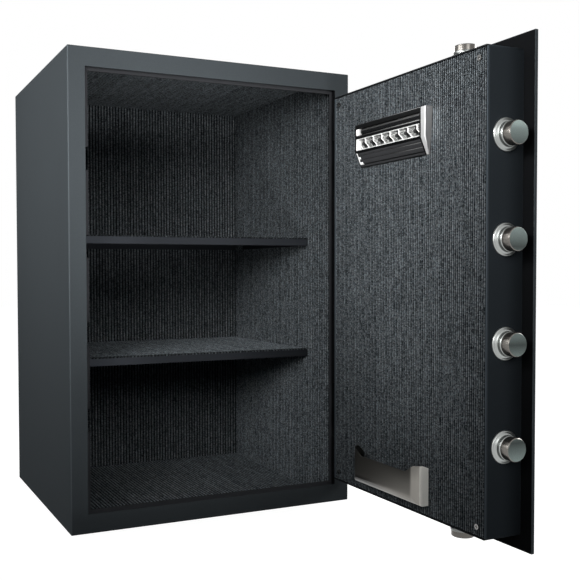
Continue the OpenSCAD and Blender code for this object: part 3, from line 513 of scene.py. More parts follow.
@dataclass(frozen=True)
class Carpet(Finish):
    """Ribbed needle carpet: light and dark fibres mixed, lying along the ribs, with painted shade between
    the ribs.

    A sheet with painted shade along its front edge has `shaded_front`, the y in mm where its top starts. A
    sheet with a painted pool of light beside something has `bright`: the y where that is palest, how far it
    reaches, and its lowest and highest z. `foot` is how much paler its foot is than its top, as painted
    light, and
    `shade` makes the whole sheet lighter or darker as its light falls, also painted light.
    """

    across: Axis
    along: Axis
    origin: float
    pitch: float
    groove_shade: float
    shade: float
    shaded_front: float | None
    bright: tuple[float, float, float, float] | None
    foot: float
    strand: float = 1.65
    fibre: float = 1.35
    dark: Colour = (0.009, 0.011, 0.013)
    light: Colour = (0.30, 0.325, 0.34)

    def inputs(self, s: Shader, at: Sock) -> dict[str, Term]:
        """See Finish.inputs."""
        parts = s.parts(at)
        _, y, z = parts
        rib = (parts[self.across.value] - self.origin) / self.pitch
        tone = s.random(s.vector(rib.unary("FLOOR"), 3.0, 7.0))
        strand = (rib * float(round(self.pitch / self.strand))).unary("FLOOR")
        tuft = parts[self.along.value] / self.fibre + s.random(s.vector(strand, 5.0, 2.0))
        cell = s.random(s.vector(strand, tuft.unary("FLOOR"), 1.0))
        streak = s.random(s.vector(strand, (tuft * 0.14).unary("FLOOR"), 4.0))
        fuzz = s.noise(at * stretch(self.along, 0.75, 1.0), 1500.0, 2.0, 0.75)
        arch = (rib.unary("FRACT") * math.pi).unary("SINE")
        patch = s.noise(at, 24.0)
        heather = (0.14 + cell ** 1.5 * 0.40 + (fuzz - 0.45) * 0.4 + (tone - 0.5) * 0.09
                   + (streak - 0.5) * 0.16 + (patch - 0.5) * 0.08).clamp() ** 1.15
        tint = s.mix(s.noise(at, 300.0), (0.90, 1.02, 1.10), (1.07, 1.0, 0.95))
        # Painted shade in the grooves between the ribs, painted highlight on their crests
        depth = self.groove_shade + (1 - self.groove_shade) * arch ** 1.8
        # Painted shade along the front edge
        if self.shaded_front is not None:
            depth = depth * (0.2 + 0.8 * y.step(self.shaded_front + 4, self.shaded_front + 12))
        # Painted light: the foot paler than the top
        if self.foot:
            depth = depth * (1 + self.foot * (0.5 - z.step(0.0, 600.0)))
        # A painted pool of light beside something, such as the lamp's cap
        if self.bright is not None:
            edge, reach, low, high = self.bright
            beside = (y.step(edge - reach, edge) * z.step(low, low + 30) * (1 - z.step(high - 8, high + 2))
                      * (1 - y.step(edge + 4, edge + 8)))
            heather = (heather + beside ** 1.5 * 0.3).clamp()
        # Each sheet's shade makes it lighter or darker as painted light
        colour = s.mix(heather, self.dark, self.light) * tint * (depth * self.shade)
        height = arch * 0.6 + cell * 0.15 + fuzz * 0.25
        return dict(Base_Color=colour, Roughness=0.95, Normal=s.bump(height, 0.6),
                    Specular_IOR_Level=0.002)


@dataclass(frozen=True)
class Metal(Finish):
    """Bare or plated metal with fine turning or polishing marks."""

    colour: Colour
    roughness: float
    marks: float
    mark_axis: Axis
    spread: float
    stain: float

    def shaded(self, z: Sock) -> Term:
        """How much lighter or darker the metal is painted at height z in mm, as painted shade."""
        return 1.0

    def inputs(self, s: Shader, at: Sock) -> dict[str, Term]:
        """See Finish.inputs."""
        lines = s.noise(at * stretch(self.mark_axis, 4200.0, 60.0), 1.0, 2.0, 0.6)
        cloud = s.noise(at, 90.0, 3.0)
        speck = s.noise(at, 1800.0, 1.0).step(0.62, 0.78)
        tone = (1.0 - self.stain * cloud - 0.1 * speck) * self.shaded(s.parts(at)[2])
        rough = self.roughness + self.spread * (lines - 0.5) + self.spread * 0.8 * (cloud - 0.5)
        return dict(Base_Color=s.colour(self.colour) * tone, Metallic=1.0, Roughness=rough.clamp(),
                    Normal=s.bump(lines, self.marks))


@dataclass(frozen=True)
class CollarChrome(Metal):
    """The collars' plating, with painted shade on the top and bottom ones."""

    def shaded(self, z: Sock) -> Term:
        """See Metal.dull."""
        # Painted shade on the top and bottom collars
        return 1 - 0.5 * (z.step(551, 556) + (1 - z.step(44, 49)))


@dataclass(frozen=True)
class BoltSteel(Finish):
    """Plated bolt steel: turned round the bolt, blasted to a satin grey on the end face.

    The end faces lie at y = side_end, z = top_end and z = bottom_end, in mm.
    """

    side_end: float = -519.6
    top_end: float = 570.5
    bottom_end: float = 29.5
    first: float = 140.6
    spacing: float = 108.0
    radius: float = 12.5
    body: Colour = (0.19, 0.18, 0.165)
    face: Colour = (0.115, 0.142, 0.135)

    def inputs(self, s: Shader, at: Sock) -> dict[str, Term]:
        """See Finish.inputs."""
        _, y, z = s.parts(at)
        face = ((1 - y.step(self.side_end + 0.03, self.side_end + 0.12))
                + z.step(self.top_end - 0.12, self.top_end - 0.03)
                + (1 - z.step(self.bottom_end + 0.03, self.bottom_end + 0.12))).clamp()
        lines = s.noise(at * (70.0, 2600.0, 70.0), 1.0, 2.0, 0.6)
        grit = s.noise(at, 1900.0, 2.0, 0.7)
        cloud = s.noise(at, 110.0, 3.0)
        row = (z - self.first) / self.spacing + 0.5
        high = (row.unary("FRACT") - 0.5) * (self.spacing / self.radius)
        # A painted reflection: a darker band crosses the end faces, lower on each bolt up the row; the end
        # faces are also painted darker high up the row
        band = high - 0.6 + 0.62 * row.unary("FLOOR")
        sheen = ((0.5 + 1.25 * band.unary("ABSOLUTE") + 1.2 * band.step(1.4, 2.1))
                 * (1 - 0.3 * z.step(300, 470)))
        # Painted shade: the top and bottom bolts' bodies darker
        ends = z.step(556.0, 557.0) + (1 - z.step(43.0, 44.0))
        plated = s.mix(cloud, self.body, toned(self.body, 0.75)) * (1 - 0.3 * ends)
        blasted = s.mix(grit.step(0.3, 0.75), toned(self.face, 0.82), toned(self.face, 1.15)) * sheen
        rough = face * 0.2 + 0.24 + 0.1 * (lines - 0.5) + 0.06 * (cloud - 0.5)
        height = s.node("ShaderNodeMix", {}, {0: face, 2: lines, 3: grit})
        return dict(Base_Color=s.mix(face, plated, blasted), Metallic=0.92 - face * 0.62, Roughness=rough,
                    Specular_IOR_Level=0.12, Normal=s.bump(height, 0.015))


@dataclass(frozen=True)
class PocketSheet(Finish):
    """The document pocket's nickelled sheet: its face painted with reflections and shade, matt on its free
    end.
    """

    tint: Colour = (0.235, 0.225, 0.205)
    matt: Colour = (0.82, 0.80, 0.74)
    free_end: float = -408.0
    foot: float = 58.0

    def inputs(self, s: Shader, at: Sock) -> dict[str, Term]:
        """See Finish.inputs."""
        _, y, z = s.parts(at)
        along, up = y - self.free_end, z - self.foot
        # Painted reflections: darker high up near the free end, a light band along the foot, taller towards
        # the free end and fading towards the hinge end, and a light strip at the free end
        face = 0.62 - 0.3 * (1 - along.step(13, 78)) * up.step(22, 44)
        band = 0.82 - 0.42 * along.step(68, 123)
        reach = 4 + 14 * (1 - along.step(20, 110))
        low, strip = 1 - (up / reach).step(0.2, 1.0), 1 - along.step(8, 12)
        level = (face + (band - face) * low) * (1 - strip) + (0.9 - 0.3 * up.step(26, 44)) * strip
        # Painted shade at the hinge end
        level = level * (1 - 0.55 * along.step(127, 128.6))
        # A painted dark reflection low down along the middle
        level = level * (1 - 0.85 * up.step(1.5, 2.4) * (1 - up.step(8, 14)) * along.step(45, 112))
        end = 1 - along.step(0.05, 1.2)
        cloud, fine = s.noise(at, 60.0, 3.0), s.noise(at, 1400.0, 2.0)
        colour = s.mix(end, s.colour(self.tint) * level, self.matt) * (0.98 + 0.04 * cloud)
        return dict(Base_Color=colour, Metallic=1 - end, Roughness=0.33 + 0.2 * end + 0.02 * (fine - 0.5),
                    Normal=s.bump(fine, 0.0008), Specular_IOR_Level=0.2)


@dataclass(frozen=True)
class Plastic(Finish):
    """Moulded plastic with a spark-eroded grain."""

    colour: Colour
    roughness: float
    grain: float = 0.03
    grain_scale: float = 1500.0
    coat: float = 0.0
    specular: float = 0.3

    def inputs(self, s: Shader, at: Sock) -> dict[str, Term]:
        """See Finish.inputs."""
        grain = s.noise(at, self.grain_scale, 2.0, 0.6)
        smear = s.noise(at, 45.0, 3.0)
        # Edges lighter: partly wear, partly a painted highlight
        wear_and_highlight = s.edges(0.4) * smear.step(0.35, 0.8)
        plain = s.colour(self.colour) * (0.92 + 0.16 * smear)
        colour = s.mix(wear_and_highlight * 0.3, plain, toned(self.colour, 1.4, 0.03))
        rough = self.roughness + 0.14 * (smear - 0.5) + 0.06 * (grain - 0.5)
        return dict(Base_Color=colour, Roughness=rough, Normal=s.bump(grain, self.grain),
                    Coat_Weight=self.coat, Coat_Roughness=0.08, Specular_IOR_Level=self.specular)


@dataclass(frozen=True)
class Sleeve(Finish):
    """Battery cells: a dark sleeve, a copper-coloured top third and steel ends."""

    low: float
    high: float

    def inputs(self, s: Shader, at: Sock) -> dict[str, Term]:
        """See Finish.inputs."""
        up = (s.parts(at)[1] - self.low) / (self.high - self.low)
        end = (up.step(0.965, 0.97) + (1 - up.step(0.02, 0.025))).clamp()
        scuff = s.noise(at, 300.0, 3.0)
        sleeve = s.mix(up.step(0.66, 0.67), (0.02, 0.021, 0.024), (0.55, 0.27, 0.1))
        return dict(Base_Color=s.mix(end, sleeve, (0.55, 0.55, 0.53)) * (0.85 + 0.3 * scuff),
                    Roughness=0.22 + 0.2 * scuff, Metallic=end, Coat_Weight=0.3)


@dataclass(frozen=True)
class Board(Finish):
    """Circuit board: green mask over copper tracks, with grey parts."""

    def inputs(self, s: Shader, at: Sock) -> dict[str, Term]:
        """See Finish.inputs."""
        _, y, z = s.parts(at)
        bend = s.noise(s.vector(0.0, 0.0, z), 0.06, 1.0)
        lines = ((y * 0.42).unary("FLOOR") * 0.37 + bend).unary("FRACT")
        track = lines.step(0.72, 0.76) * s.noise(at, 130.0, 1.0).step(0.42, 0.46)
        pads = s.noise(at, 420.0, 0.0).step(0.68, 0.7)
        green = s.mix(track, (0.008, 0.07, 0.03), (0.02, 0.16, 0.07))
        return dict(Base_Color=s.mix(pads, green, (0.6, 0.6, 0.56)), Roughness=0.35, Metallic=pads,
                    Normal=s.bump(track, 0.05), Coat_Weight=0.2)


@dataclass(frozen=True)
class Trim(Finish):
    """The lamp's end cap: silvered plastic on the face with a painted highlight by its free side, and
    painted shade on that side, darker further out.
    """

    face: float = 140.5
    side: float = -413.0

    def inputs(self, s: Shader, at: Sock) -> dict[str, Term]:
        """See Finish.inputs."""
        x, y, _ = s.parts(at)
        out = x - self.face
        side = 1 - (y - out * 0.6).step(self.side, self.side + 0.4)
        # Painted highlight: a bright strip along the face by the free side
        edge = 1 - y.step(self.side + 1.2, self.side + 3.2)
        haze = s.noise(at, 120.0, 3.0)
        silver = s.mix(edge, (0.40, 0.40, 0.40), (0.85, 0.85, 0.85))
        # Painted shade on the side, darker further out
        shaded = s.mix((out * 0.1).clamp(), (0.34, 0.34, 0.34), (0.24, 0.24, 0.24))
        return dict(Base_Color=s.mix(side, silver, shaded) * (0.95 + 0.1 * haze), Metallic=0.2,
                    Roughness=0.4 + 0.06 * (haze - 0.5), Normal=s.bump(s.noise(at, 2400.0, 1.0), 0.002))


@dataclass(frozen=True)
class Glint(Finish):
    """A painted highlight on black plastic, growing brighter along Y from `dim` to `bright`, in mm."""

    dim: float
    bright: float
    low: float
    high: float

    def inputs(self, s: Shader, at: Sock) -> dict[str, Term]:
        """See Finish.inputs."""
        far = 1 - s.parts(at)[1].step(self.bright, self.dim)
        level = self.low + (self.high - self.low) * far ** 1.5
        colour = s.vector(level, level, level) * (0.85 + 0.3 * s.noise(at, 700.0))
        return dict(Base_Color=colour, Roughness=0.4, Metallic=0.1, Specular_IOR_Level=0.2)


@dataclass(frozen=True)
class Reflector(Finish):
    """Silvered plastic with seven swept cells: ridges with painted highlights, dishes mottled with painted
    reflections, and black slots round the lights painted as shade.
    """

    ridge: Colour = (0.84, 0.84, 0.83)
    shade: Colour = (0.09, 0.092, 0.09)
    light: Colour = (0.42, 0.425, 0.41)
    first: float = FIRST_LIGHT + HINGE_Y - HINGE_X
    middle: float = 482.7
    half: float = 7.15
    end: float = -281.5

    def cells(self, y: Sock, down: Sock) -> tuple[Sock, Sock]:
        """Finds the parts of the cells.

        Args:
            y: place along the lamp, in mm.
            down: place down the window, from -1 to 1.

        Returns:
            Masks of the slots painted dark as shade, and of the ridges and rims painted bright as
            highlights.
        """
        sweep = ((down + 0.25) * 0.8).clamp() ** 1.4 * 0.85
        cell = (y - self.first) / LIGHT_PITCH
        u = ((cell + sweep * 0.5 + 0.5).unary("FRACT") - 0.5) * 2.0
        half = 0.30 + 0.26 * down.step(-0.1, 0.4)
        height = down.unary("ABSOLUTE")
        slot = (1 - (u.unary("ABSOLUTE") - half).step(0.0, 0.10)) * (1 - height.step(0.76, 0.86))
        past = y.step(self.end, self.end + 0.8) * 0.8
        ridge = 1 - (u + half + 0.22).unary("ABSOLUTE").step(0.08, 0.22)
        return slot * (1 - past), (ridge + height.step(0.84, 0.92) * 0.75 + past).clamp()

    def inputs(self, s: Shader, at: Sock) -> dict[str, Term]:
        """See Finish.inputs."""
        _, y, z = s.parts(at)
        down = (self.middle - z) * (1 / self.half)
        dark, bright = self.cells(y, down)
        # Painted reflections mottle the dishes
        mottle = s.noise(at, 560.0, 2.0, 0.7).step(0.38, 0.66)
        silver = s.mix(bright * (0.8 + 0.2 * mottle), s.mix(mottle, self.shade, self.light), self.ridge)
        slots = s.mix(down.step(0.05, 0.35), (0.003, 0.003, 0.003), (0.03, 0.032, 0.032))
        return dict(Base_Color=s.mix(dark, silver, slots), Metallic=0.15 * (1 - dark),
                    Roughness=0.34 + 0.1 * (mottle - 0.5), Normal=s.bump(mottle, 0.02),
                    Specular_IOR_Level=0.3)


CHARCOAL_TONE = (0.054, 0.062, 0.067)
DARK_TONE = (0.026, 0.0285, 0.033)

CHARCOAL = PowderPaint("charcoal_paint", "charcoal_paint", CHARCOAL_TONE)
PLATE = PlatePaint("door_plate_paint", "charcoal_paint", CHARCOAL_TONE)
# The door box's paint is the charcoal made darker, as painted shade
BOX = BoxPaint("door_box_paint", "charcoal_paint", (0.034, 0.041, 0.047))
SHELL = ShellPaint("body_paint", "charcoal_paint", CHARCOAL_TONE)
DARK = PowderPaint("dark_paint", "dark_paint", DARK_TONE, 0.5, 0.05)
SHELF = ShelfPaint("shelf_paint", "dark_paint", DARK_TONE, 0.5, 0.05)
FLANGE = FlangePaint("flange_paint", "charcoal_paint", (0.035, 0.036, 0.039))
RIM = PowderPaint("black_primer", "dark_paint", (0.008, 0.0085, 0.0095), 0.6, 0.03)
COIL = PowderPaint("coil_tape", "solenoid", (0.24, 0.17, 0.05), 0.4, 0.03)
BOLT = BoltSteel("turned_bolt_steel", "bolt_steel")
COLLAR = CollarChrome("collar_chrome", "chrome", (0.34, 0.355, 0.345), 0.3, 0.006, Axis.Z, 0.08, 0.08)
ZINC = Metal("zinc_steel", "mechanism_steel", (0.5, 0.51, 0.49), 0.36, 0.03, Axis.Z, 0.2, 0.3)
CHROME = Metal("bright_chrome", "chrome", (0.68, 0.69, 0.68), 0.14, 0.004, Axis.Z, 0.06, 0.06)
SCREW = Metal("screw_steel", "chrome", (0.24, 0.24, 0.235), 0.25, 0.01, Axis.Z, 0.1, 0.2)
TRIM = Trim("lamp_trim_silver", "chrome")
DISH = Reflector("reflector_silver", "chrome")
SATIN = Metal("satin_chrome", "chrome", (0.52, 0.525, 0.515), 0.27, 0.01, Axis.Z, 0.1, 0.1)
BRASS = Metal("turned_brass", "brass", (0.62, 0.45, 0.2), 0.28, 0.02, Axis.X, 0.12, 0.2)
PEWTER = PocketSheet("pocket_metal", "pocket_plastic")
BLACK = Plastic("black_plastic", "black_plastic", (0.013, 0.014, 0.015), 0.42)
LAMP_BLACK = Plastic("lamp_plastic", "black_plastic", (0.004, 0.0042, 0.0044), 0.4, 0.01, specular=0.06)
FOOT = Plastic("lamp_foot_plastic", "black_plastic", (0.026, 0.0265, 0.028), 0.45, 0.01, specular=0.06)
# Painted highlights along the lamp's housing
SHEEN = Glint("slider_sheen", "black_plastic", -285.0, -405.0, 0.035, 0.06)
TOP_GLINT = Glint("lamp_top_glint", "black_plastic", -315.0, -400.0, 0.02, 0.34)
SLOT_GLINT = Glint("lamp_slot_glint", "chrome", -285.0, -400.0, 0.02, 0.2)
FOOT_GLINT = Glint("lamp_foot_glint", "black_plastic", -335.0, -395.0, 0.026, 0.12)
SILVER = Plastic("lamp_silver", "chrome", (0.86, 0.86, 0.85), 0.35, 0.004, specular=0.4)
BAR = Plastic("slider_plastic", "black_plastic", (0.008, 0.0085, 0.009), 0.2, 0.004, specular=0.5)
KEYS = Plastic("key_plastic", "key_plastic", (0.5, 0.52, 0.52), 0.4, 0.02)
INK = Plastic("key_ink", "key_plastic", (0.012, 0.013, 0.015), 0.5, 0.0)
WINDOW = Plastic("window_plastic", "window", (0.008, 0.011, 0.013), 0.08, 0.002, 200.0, 1.0, 0.5)
# The lights' domes carry the reflector's painted highlights, reflections and shade, in dimmer colours
LENS = Reflector("light_resin", "led", ridge=(0.4, 0.4, 0.39), light=(0.2, 0.2, 0.195))
BOARD = Board("circuit_board", "circuit_board")


class Workshop:
    """Makes pieces, dresses CAD nodes and keeps one material for each finish."""

    def __init__(self, nodes: dict[str, bpy.types.Object]) -> None:
        """Keeps the CAD nodes.

        Args:
            nodes: them by name.
        """
        self.nodes = nodes
        self.made: dict[str, bpy.types.Material] = {}
        self.dressed: set[str] = set()

    def material(self, finish: Finish) -> bpy.types.Material:
        """Makes the material of a finish, once.

        Args:
            finish: the finish.

        Returns:
            The material.
        """
        if finish.name not in self.made:
            self.made[finish.name] = finish.build()
        return self.made[finish.name]

    def dress(self, finish: Finish, *names: str, bevel: float = 0.0) -> None:
        """Gives CAD nodes a finish.

        Args:
            finish: what they are finished with.
            *names: the nodes.
            bevel: width in mm of the rounding on their edges, or 0.
        """
        for name in names:
            node = self.nodes[name]
            if not node.material_slots:
                node.data.materials.append(None)
            for slot in node.material_slots:
                slot.link = "OBJECT"
                slot.material = self.material(finish)
            if bevel:
                weld = node.modifiers.new("weld", "WELD")
                weld.merge_threshold = 1e-6
                self.round_edges(node, bevel)
            self.dressed.add(name)
            LOG.info("dressed %s with %s", name, finish.name)

    @staticmethod
    def round_edges(piece: bpy.types.Object, width: float) -> None:
        """Adds a bevel to the sharp edges.

        Args:
            piece: the object.
            width: its width in mm.
        """
        bevel = piece.modifiers.new("edges", "BEVEL")
        bevel.width = width * MM
        bevel.segments = EDGE_STEPS
        bevel.limit_method = "ANGLE"
        bevel.angle_limit = math.radians(EDGE_ANGLE)
        bevel.harden_normals = True

    def piece(self, name: str, mesh: BMesh, finish: Finish, place: Place = Place.DOOR,
              replaces: Sequence[str] = (), smooth: float = 35.0, bevel: float = 0.0) -> bpy.types.Object:
        """Turns a mesh drawn in mm into a piece that rides on the door.

        Args:
            name: the piece's name.
            mesh: its shape; it is freed.
            finish: its finish.
            place: the axes that it was drawn in.
            replaces: CAD nodes that it stands for.
            smooth: edges sharper than this many degrees stay sharp.
            bevel: width in mm of the rounding on sharp edges, or 0.

        Returns:
            The object.
        """
        return self.from_data(name, bake(name, mesh, place.matrix), finish, "door", replaces, smooth, bevel)

    def from_data(self, name: str, data: bpy.types.Mesh, finish: Finish, body: str,
                  replaces: Sequence[str] = (), smooth: float = 35.0,
                  bevel: float = 0.0) -> bpy.types.Object:
        """Turns mesh data into a piece.

        Args:
            name: the piece's name.
            data: its shape, in metres of the row frame.
            finish: its finish.
            body: the CAD body that carries it.
            replaces: as in piece().
            smooth: as in piece().
            bevel: as in piece().

        Returns:
            The object.
        """
        for polygon in data.polygons:
            polygon.use_smooth = True
        data.set_sharp_from_angle(angle=math.radians(smooth))
        data.materials.append(self.material(finish))
        made = put(name, data)
        if bevel:
            self.round_edges(made, bevel)
        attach(made, body)
        if replaces:
            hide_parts(*replaces)
            self.dressed.update(replaces)
        LOG.info("piece %s on %s, %d faces", name, body, len(data.polygons))
        return made


# Mesh helpers


def put(name: str, data: bpy.types.ID) -> bpy.types.Object:
    """Puts an object in the scene.

    Args:
        name: its name.
        data: what it shows: a mesh, curve, lamp or camera.

    Returns:
        The object.
    """
    made = bpy.data.objects.new(name, data)
    bpy.context.scene.collection.objects.link(made)
    return made


def bake(name: str, mesh: BMesh, matrix: Matrix) -> bpy.types.Mesh:
    """Turns a drawn shape into mesh data.

    Args:
        name: the data's name.
        mesh: the shape; it is freed.
        matrix: moves it first.

    Returns:
        The data.
    """
    bmesh.ops.transform(mesh, matrix=matrix, verts=mesh.verts)
    data = bpy.data.meshes.new(name)
    mesh.to_mesh(data)
    mesh.free()
    return data


def skin(mesh: BMesh, rings: Sequence[Sequence[BMVert]], whole: bool = True, closed: bool = False,
         capped: bool = True) -> None:
    """Joins rows of corners into a surface.

    Args:
        mesh: what the corners are in.
        rings: the rows; one with a single corner is a tip.
        whole: whether each row goes right round.
        closed: whether the last row joins the first.
        capped: whether the first and last rows are filled.
    """
    count = max(len(ring) for ring in rings)
    for low, high in list(zip(rings, rings[1:])) + ([(rings[-1], rings[0])] if closed else []):
        for k in range(count if whole else count - 1):
            n = (k + 1) % count
            spots = ((low, k), (low, n), (high, n), (high, k))
            corners = list(dict.fromkeys(ring[spot % len(ring)] for ring, spot in spots))
            if len(corners) > 2:
                mesh.faces.new(corners)
    if capped:
        bmesh.ops.triangulate(mesh, faces=[mesh.faces.new(rings[0][::-1]), mesh.faces.new(rings[-1])])
    bmesh.ops.recalc_face_normals(mesh, faces=mesh.faces)


def circle(steps: int) -> list[Flat]:
    """Cosine and sine of evenly spaced turns, from 0."""
    return [(math.cos(2 * math.pi * k / steps), math.sin(2 * math.pi * k / steps)) for k in range(steps)]


def prism(mesh: BMesh, outline: Sequence[Flat], start: float, end: float,
          lift: Callable[[float, float, float], Point]) -> None:
    """Adds a closed bar with the same outline all along.

    Args:
        mesh: what it is added to.
        outline: its corners, in order.
        start: where it starts along its length.
        end: where it ends.
        lift: turns (first, second, along) into a point.
    """
    skin(mesh, [[mesh.verts.new(lift(a, b, along)) for a, b in outline] for along in (start, end)])


def lathe(mesh: BMesh, profile: Sequence[Flat], matrix: Matrix, steps: int = 96,
          closed: bool = True) -> None:
    """Adds a turned shape.

    Args:
        mesh: what it is added to.
        profile: (radius, height) points; a closed profile makes a ring.
        matrix: puts the turning axis, +Z, in its place.
        steps: faces round the axis.
        closed: whether the last point joins the first.
    """
    rings = [[mesh.verts.new(matrix @ Vector((radius * x, radius * y, height)))
              for x, y in (circle(steps) if radius else [(0.0, 0.0)])] for radius, height in profile]
    skin(mesh, rings, closed=closed, capped=False)


def rounded(corners: Sequence[Flat], radius: float, steps: int) -> list[Flat]:
    """Rounds the corners of an outline.

    Args:
        corners: its corners.
        radius: how far from each corner the curve starts.
        steps: points on each curve, less one.

    Returns:
        The new outline.
    """
    points: list[Flat] = []
    count = len(corners)
    for i, corner in enumerate(corners):
        here = Vector(corner)
        before, after = Vector(corners[i - 1]) - here, Vector(corners[(i + 1) % count]) - here
        a = here + before.normalized() * min(radius, before.length * 0.49)
        b = here + after.normalized() * min(radius, after.length * 0.49)
        for k in range(steps + 1):
            t = k / steps
            p = a * (1 - t) ** 2 + here * 2 * t * (1 - t) + b * t ** 2
            points.append((p.x, p.y))
    return points


def cylinder_cut(target: bpy.types.Mesh, centres: Sequence[Point], axis: Axis, radius: float,
                 reach: float) -> bpy.types.Mesh:
    """Cuts round holes through a mesh.

    Args:
        target: the mesh, in metres.
        centres: a point on each hole's axis, in mm.
        axis: the holes' direction.
        radius: their radius in mm.
        reach: half of their length in mm.

    Returns:
        The cut mesh.
    """
    turn = {Axis.X: Euler((0, math.pi / 2, 0)), Axis.Y: Euler((math.pi / 2, 0, 0)), Axis.Z: Euler()}[axis]
    tool = bmesh.new()
    for centre in centres:
        lathe(tool, [(0, -reach), (radius, -reach), (radius, reach), (0, reach)],
              Matrix.Translation(centre) @ turn.to_matrix().to_4x4(), steps=48, closed=False)
    tool_data = bake("cut_tool", tool, Matrix.Scale(MM, 4))
    work, cutter = put("cut_work", target), put("cut_tool", tool_data)
    cut = work.modifiers.new("cut", "BOOLEAN")
    cut.operation = "DIFFERENCE"
    cut.solver = "EXACT"
    cut.object = cutter
    result = bpy.data.meshes.new_from_object(work.evaluated_get(bpy.context.evaluated_depsgraph_get()))
    for thing in (work, cutter):
        bpy.data.objects.remove(thing)
    for spent in (tool_data, target):
        bpy.data.meshes.remove(spent)
    return result


@dataclass
class Assembly:
    """A group of pieces that the workshop makes."""

    shop: Workshop

    def build(self) -> None:
        """Makes and finishes the pieces."""
        raise NotImplementedError


# Ribbed carpet


@dataclass
class RibbedSheet:
    """One glued sheet of ribbed carpet, its ribs modelled one by one.

    It lies from `low` to `high`, with its face on the `outward` side (1 or -1) of the axis `face` and its
    ribs along the axis `along`. `groove_shade` and `shade` are how light its grooves and the whole of it
    are, both painted light.
    `shape` is where a rib's corners lie across it, as shares of the pitch, and `least` the narrowest strip
    left beside the far edge. Along its length a rib wanders sideways by `wander` and its height varies
    within the shares of `swell`.
    """

    name: str
    low: Point
    high: Point
    face: Axis
    outward: int
    along: Axis
    seed: int
    shade: float
    groove_shade: float = 0.1
    rib_depth: float = 1.25
    pitch: float = 4.9
    place: Place = Place.BODY
    shaded_front: float | None = None
    bright: tuple[float, float, float, float] | None = None
    foot: float = 0.0
    holes: Sequence[Point] = ()
    shape: tuple[float, ...] = (0.0, 0.14, 0.32, 0.5, 0.68, 0.86)
    roundness: float = 0.62
    least: float = 0.2
    step: float = 9.0
    wander: float = 0.16
    swell: Flat = (0.78, 1.0)
    smooth: float = 80.0
    hole_radius: float = 12.0
    hole_reach: float = 6.0

    @property
    def across(self) -> Axis:
        """The axis across the ribs."""
        return next(axis for axis in Axis if axis not in (self.face, self.along))

    def finish(self) -> Carpet:
        """Chooses the carpet's finish, with its tufts on these ribs.

        Returns:
            The finish.
        """
        turned = {Axis.X: Axis.Y, Axis.Y: Axis.X} if self.place is Place.DOOR else {}
        across, along = (turned.get(axis, axis) for axis in (self.across, self.along))
        origin = self.low[self.across.value] + (HINGE_Y - HINGE_X if turned else 0.0)
        return Carpet(f"{self.name}_felt", "carpet", across, along, origin, self.pitch, self.groove_shade,
                      self.shade, self.shaded_front, self.bright, self.foot)

    def mesh(self) -> bpy.types.Mesh:
        """Builds the sheet.

        Returns:
            The mesh, in metres of the row frame.
        """
        u, v, w = self.across.value, self.along.value, self.face.value
        mesh = bmesh.new()

        def corner(across: float, along: float, height: float) -> BMVert:
            """Adds one corner.

            Args:
                across: its place across the ribs.
                along: its place along them.
                height: its place along the third axis.

            Returns:
                The corner.
            """
            point = [0.0, 0.0, 0.0]
            point[u], point[v], point[w] = across, along, height
            return mesh.verts.new(point)

        ribs = int((self.high[u] - self.low[u]) / self.pitch) + 1
        spots = [(self.low[u] + self.pitch * (k + t), t) for k in range(ribs) for t in self.shape]
        spots = [spot for spot in spots if spot[0] < self.high[u] - self.least] + [(self.high[u], 0.0)]
        arch = [math.sin(math.pi * t) ** self.roundness for _, t in spots]
        rows = max(2, round((self.high[v] - self.low[v]) / self.step))
        stops = np.linspace(self.low[v], self.high[v], rows + 1)
        top, base = (self.high[w], self.low[w]) if self.outward > 0 else (self.low[w], self.high[w])
        rng = np.random.default_rng(self.seed)
        cells = (rows + 1, len(spots) // len(self.shape) + 2)
        wave, swell = rng.uniform(-1, 1, cells), rng.uniform(*self.swell, cells)
        first, last = ([corner(across, along, base) for across, _ in spots]
                       for along in (stops[0], stops[-1]))
        rings = [first]
        for r, along in enumerate(stops):
            rings.append([])
            for c, (across, _) in enumerate(spots):
                rib = c // len(self.shape)
                shift = self.wander * wave[r, rib] * arch[c] if 0 < c < len(spots) - 1 else 0.0
                sunk = self.rib_depth * (1 - arch[c] * swell[r, rib])
                rings[-1].append(corner(across + shift, along, top - self.outward * sunk))
        rings.append(last)
        for side in (0, -1):
            mesh.faces.new([ring[side] for ring in rings])
        skin(mesh, rings, whole=False, closed=True, capped=False)
        data = bake(self.name, mesh, self.place.matrix)
        if self.holes:
            data = cylinder_cut(data, self.holes, self.face, self.hole_radius, self.hole_reach)
        return data

    def glue(self, shop: Workshop, body: str, stands_for: str) -> None:
        """Makes the sheet as a piece of a body, in place of a CAD node."""
        shop.from_data(self.name, self.mesh(), self.finish(), body, [stands_for], self.smooth)


# The body


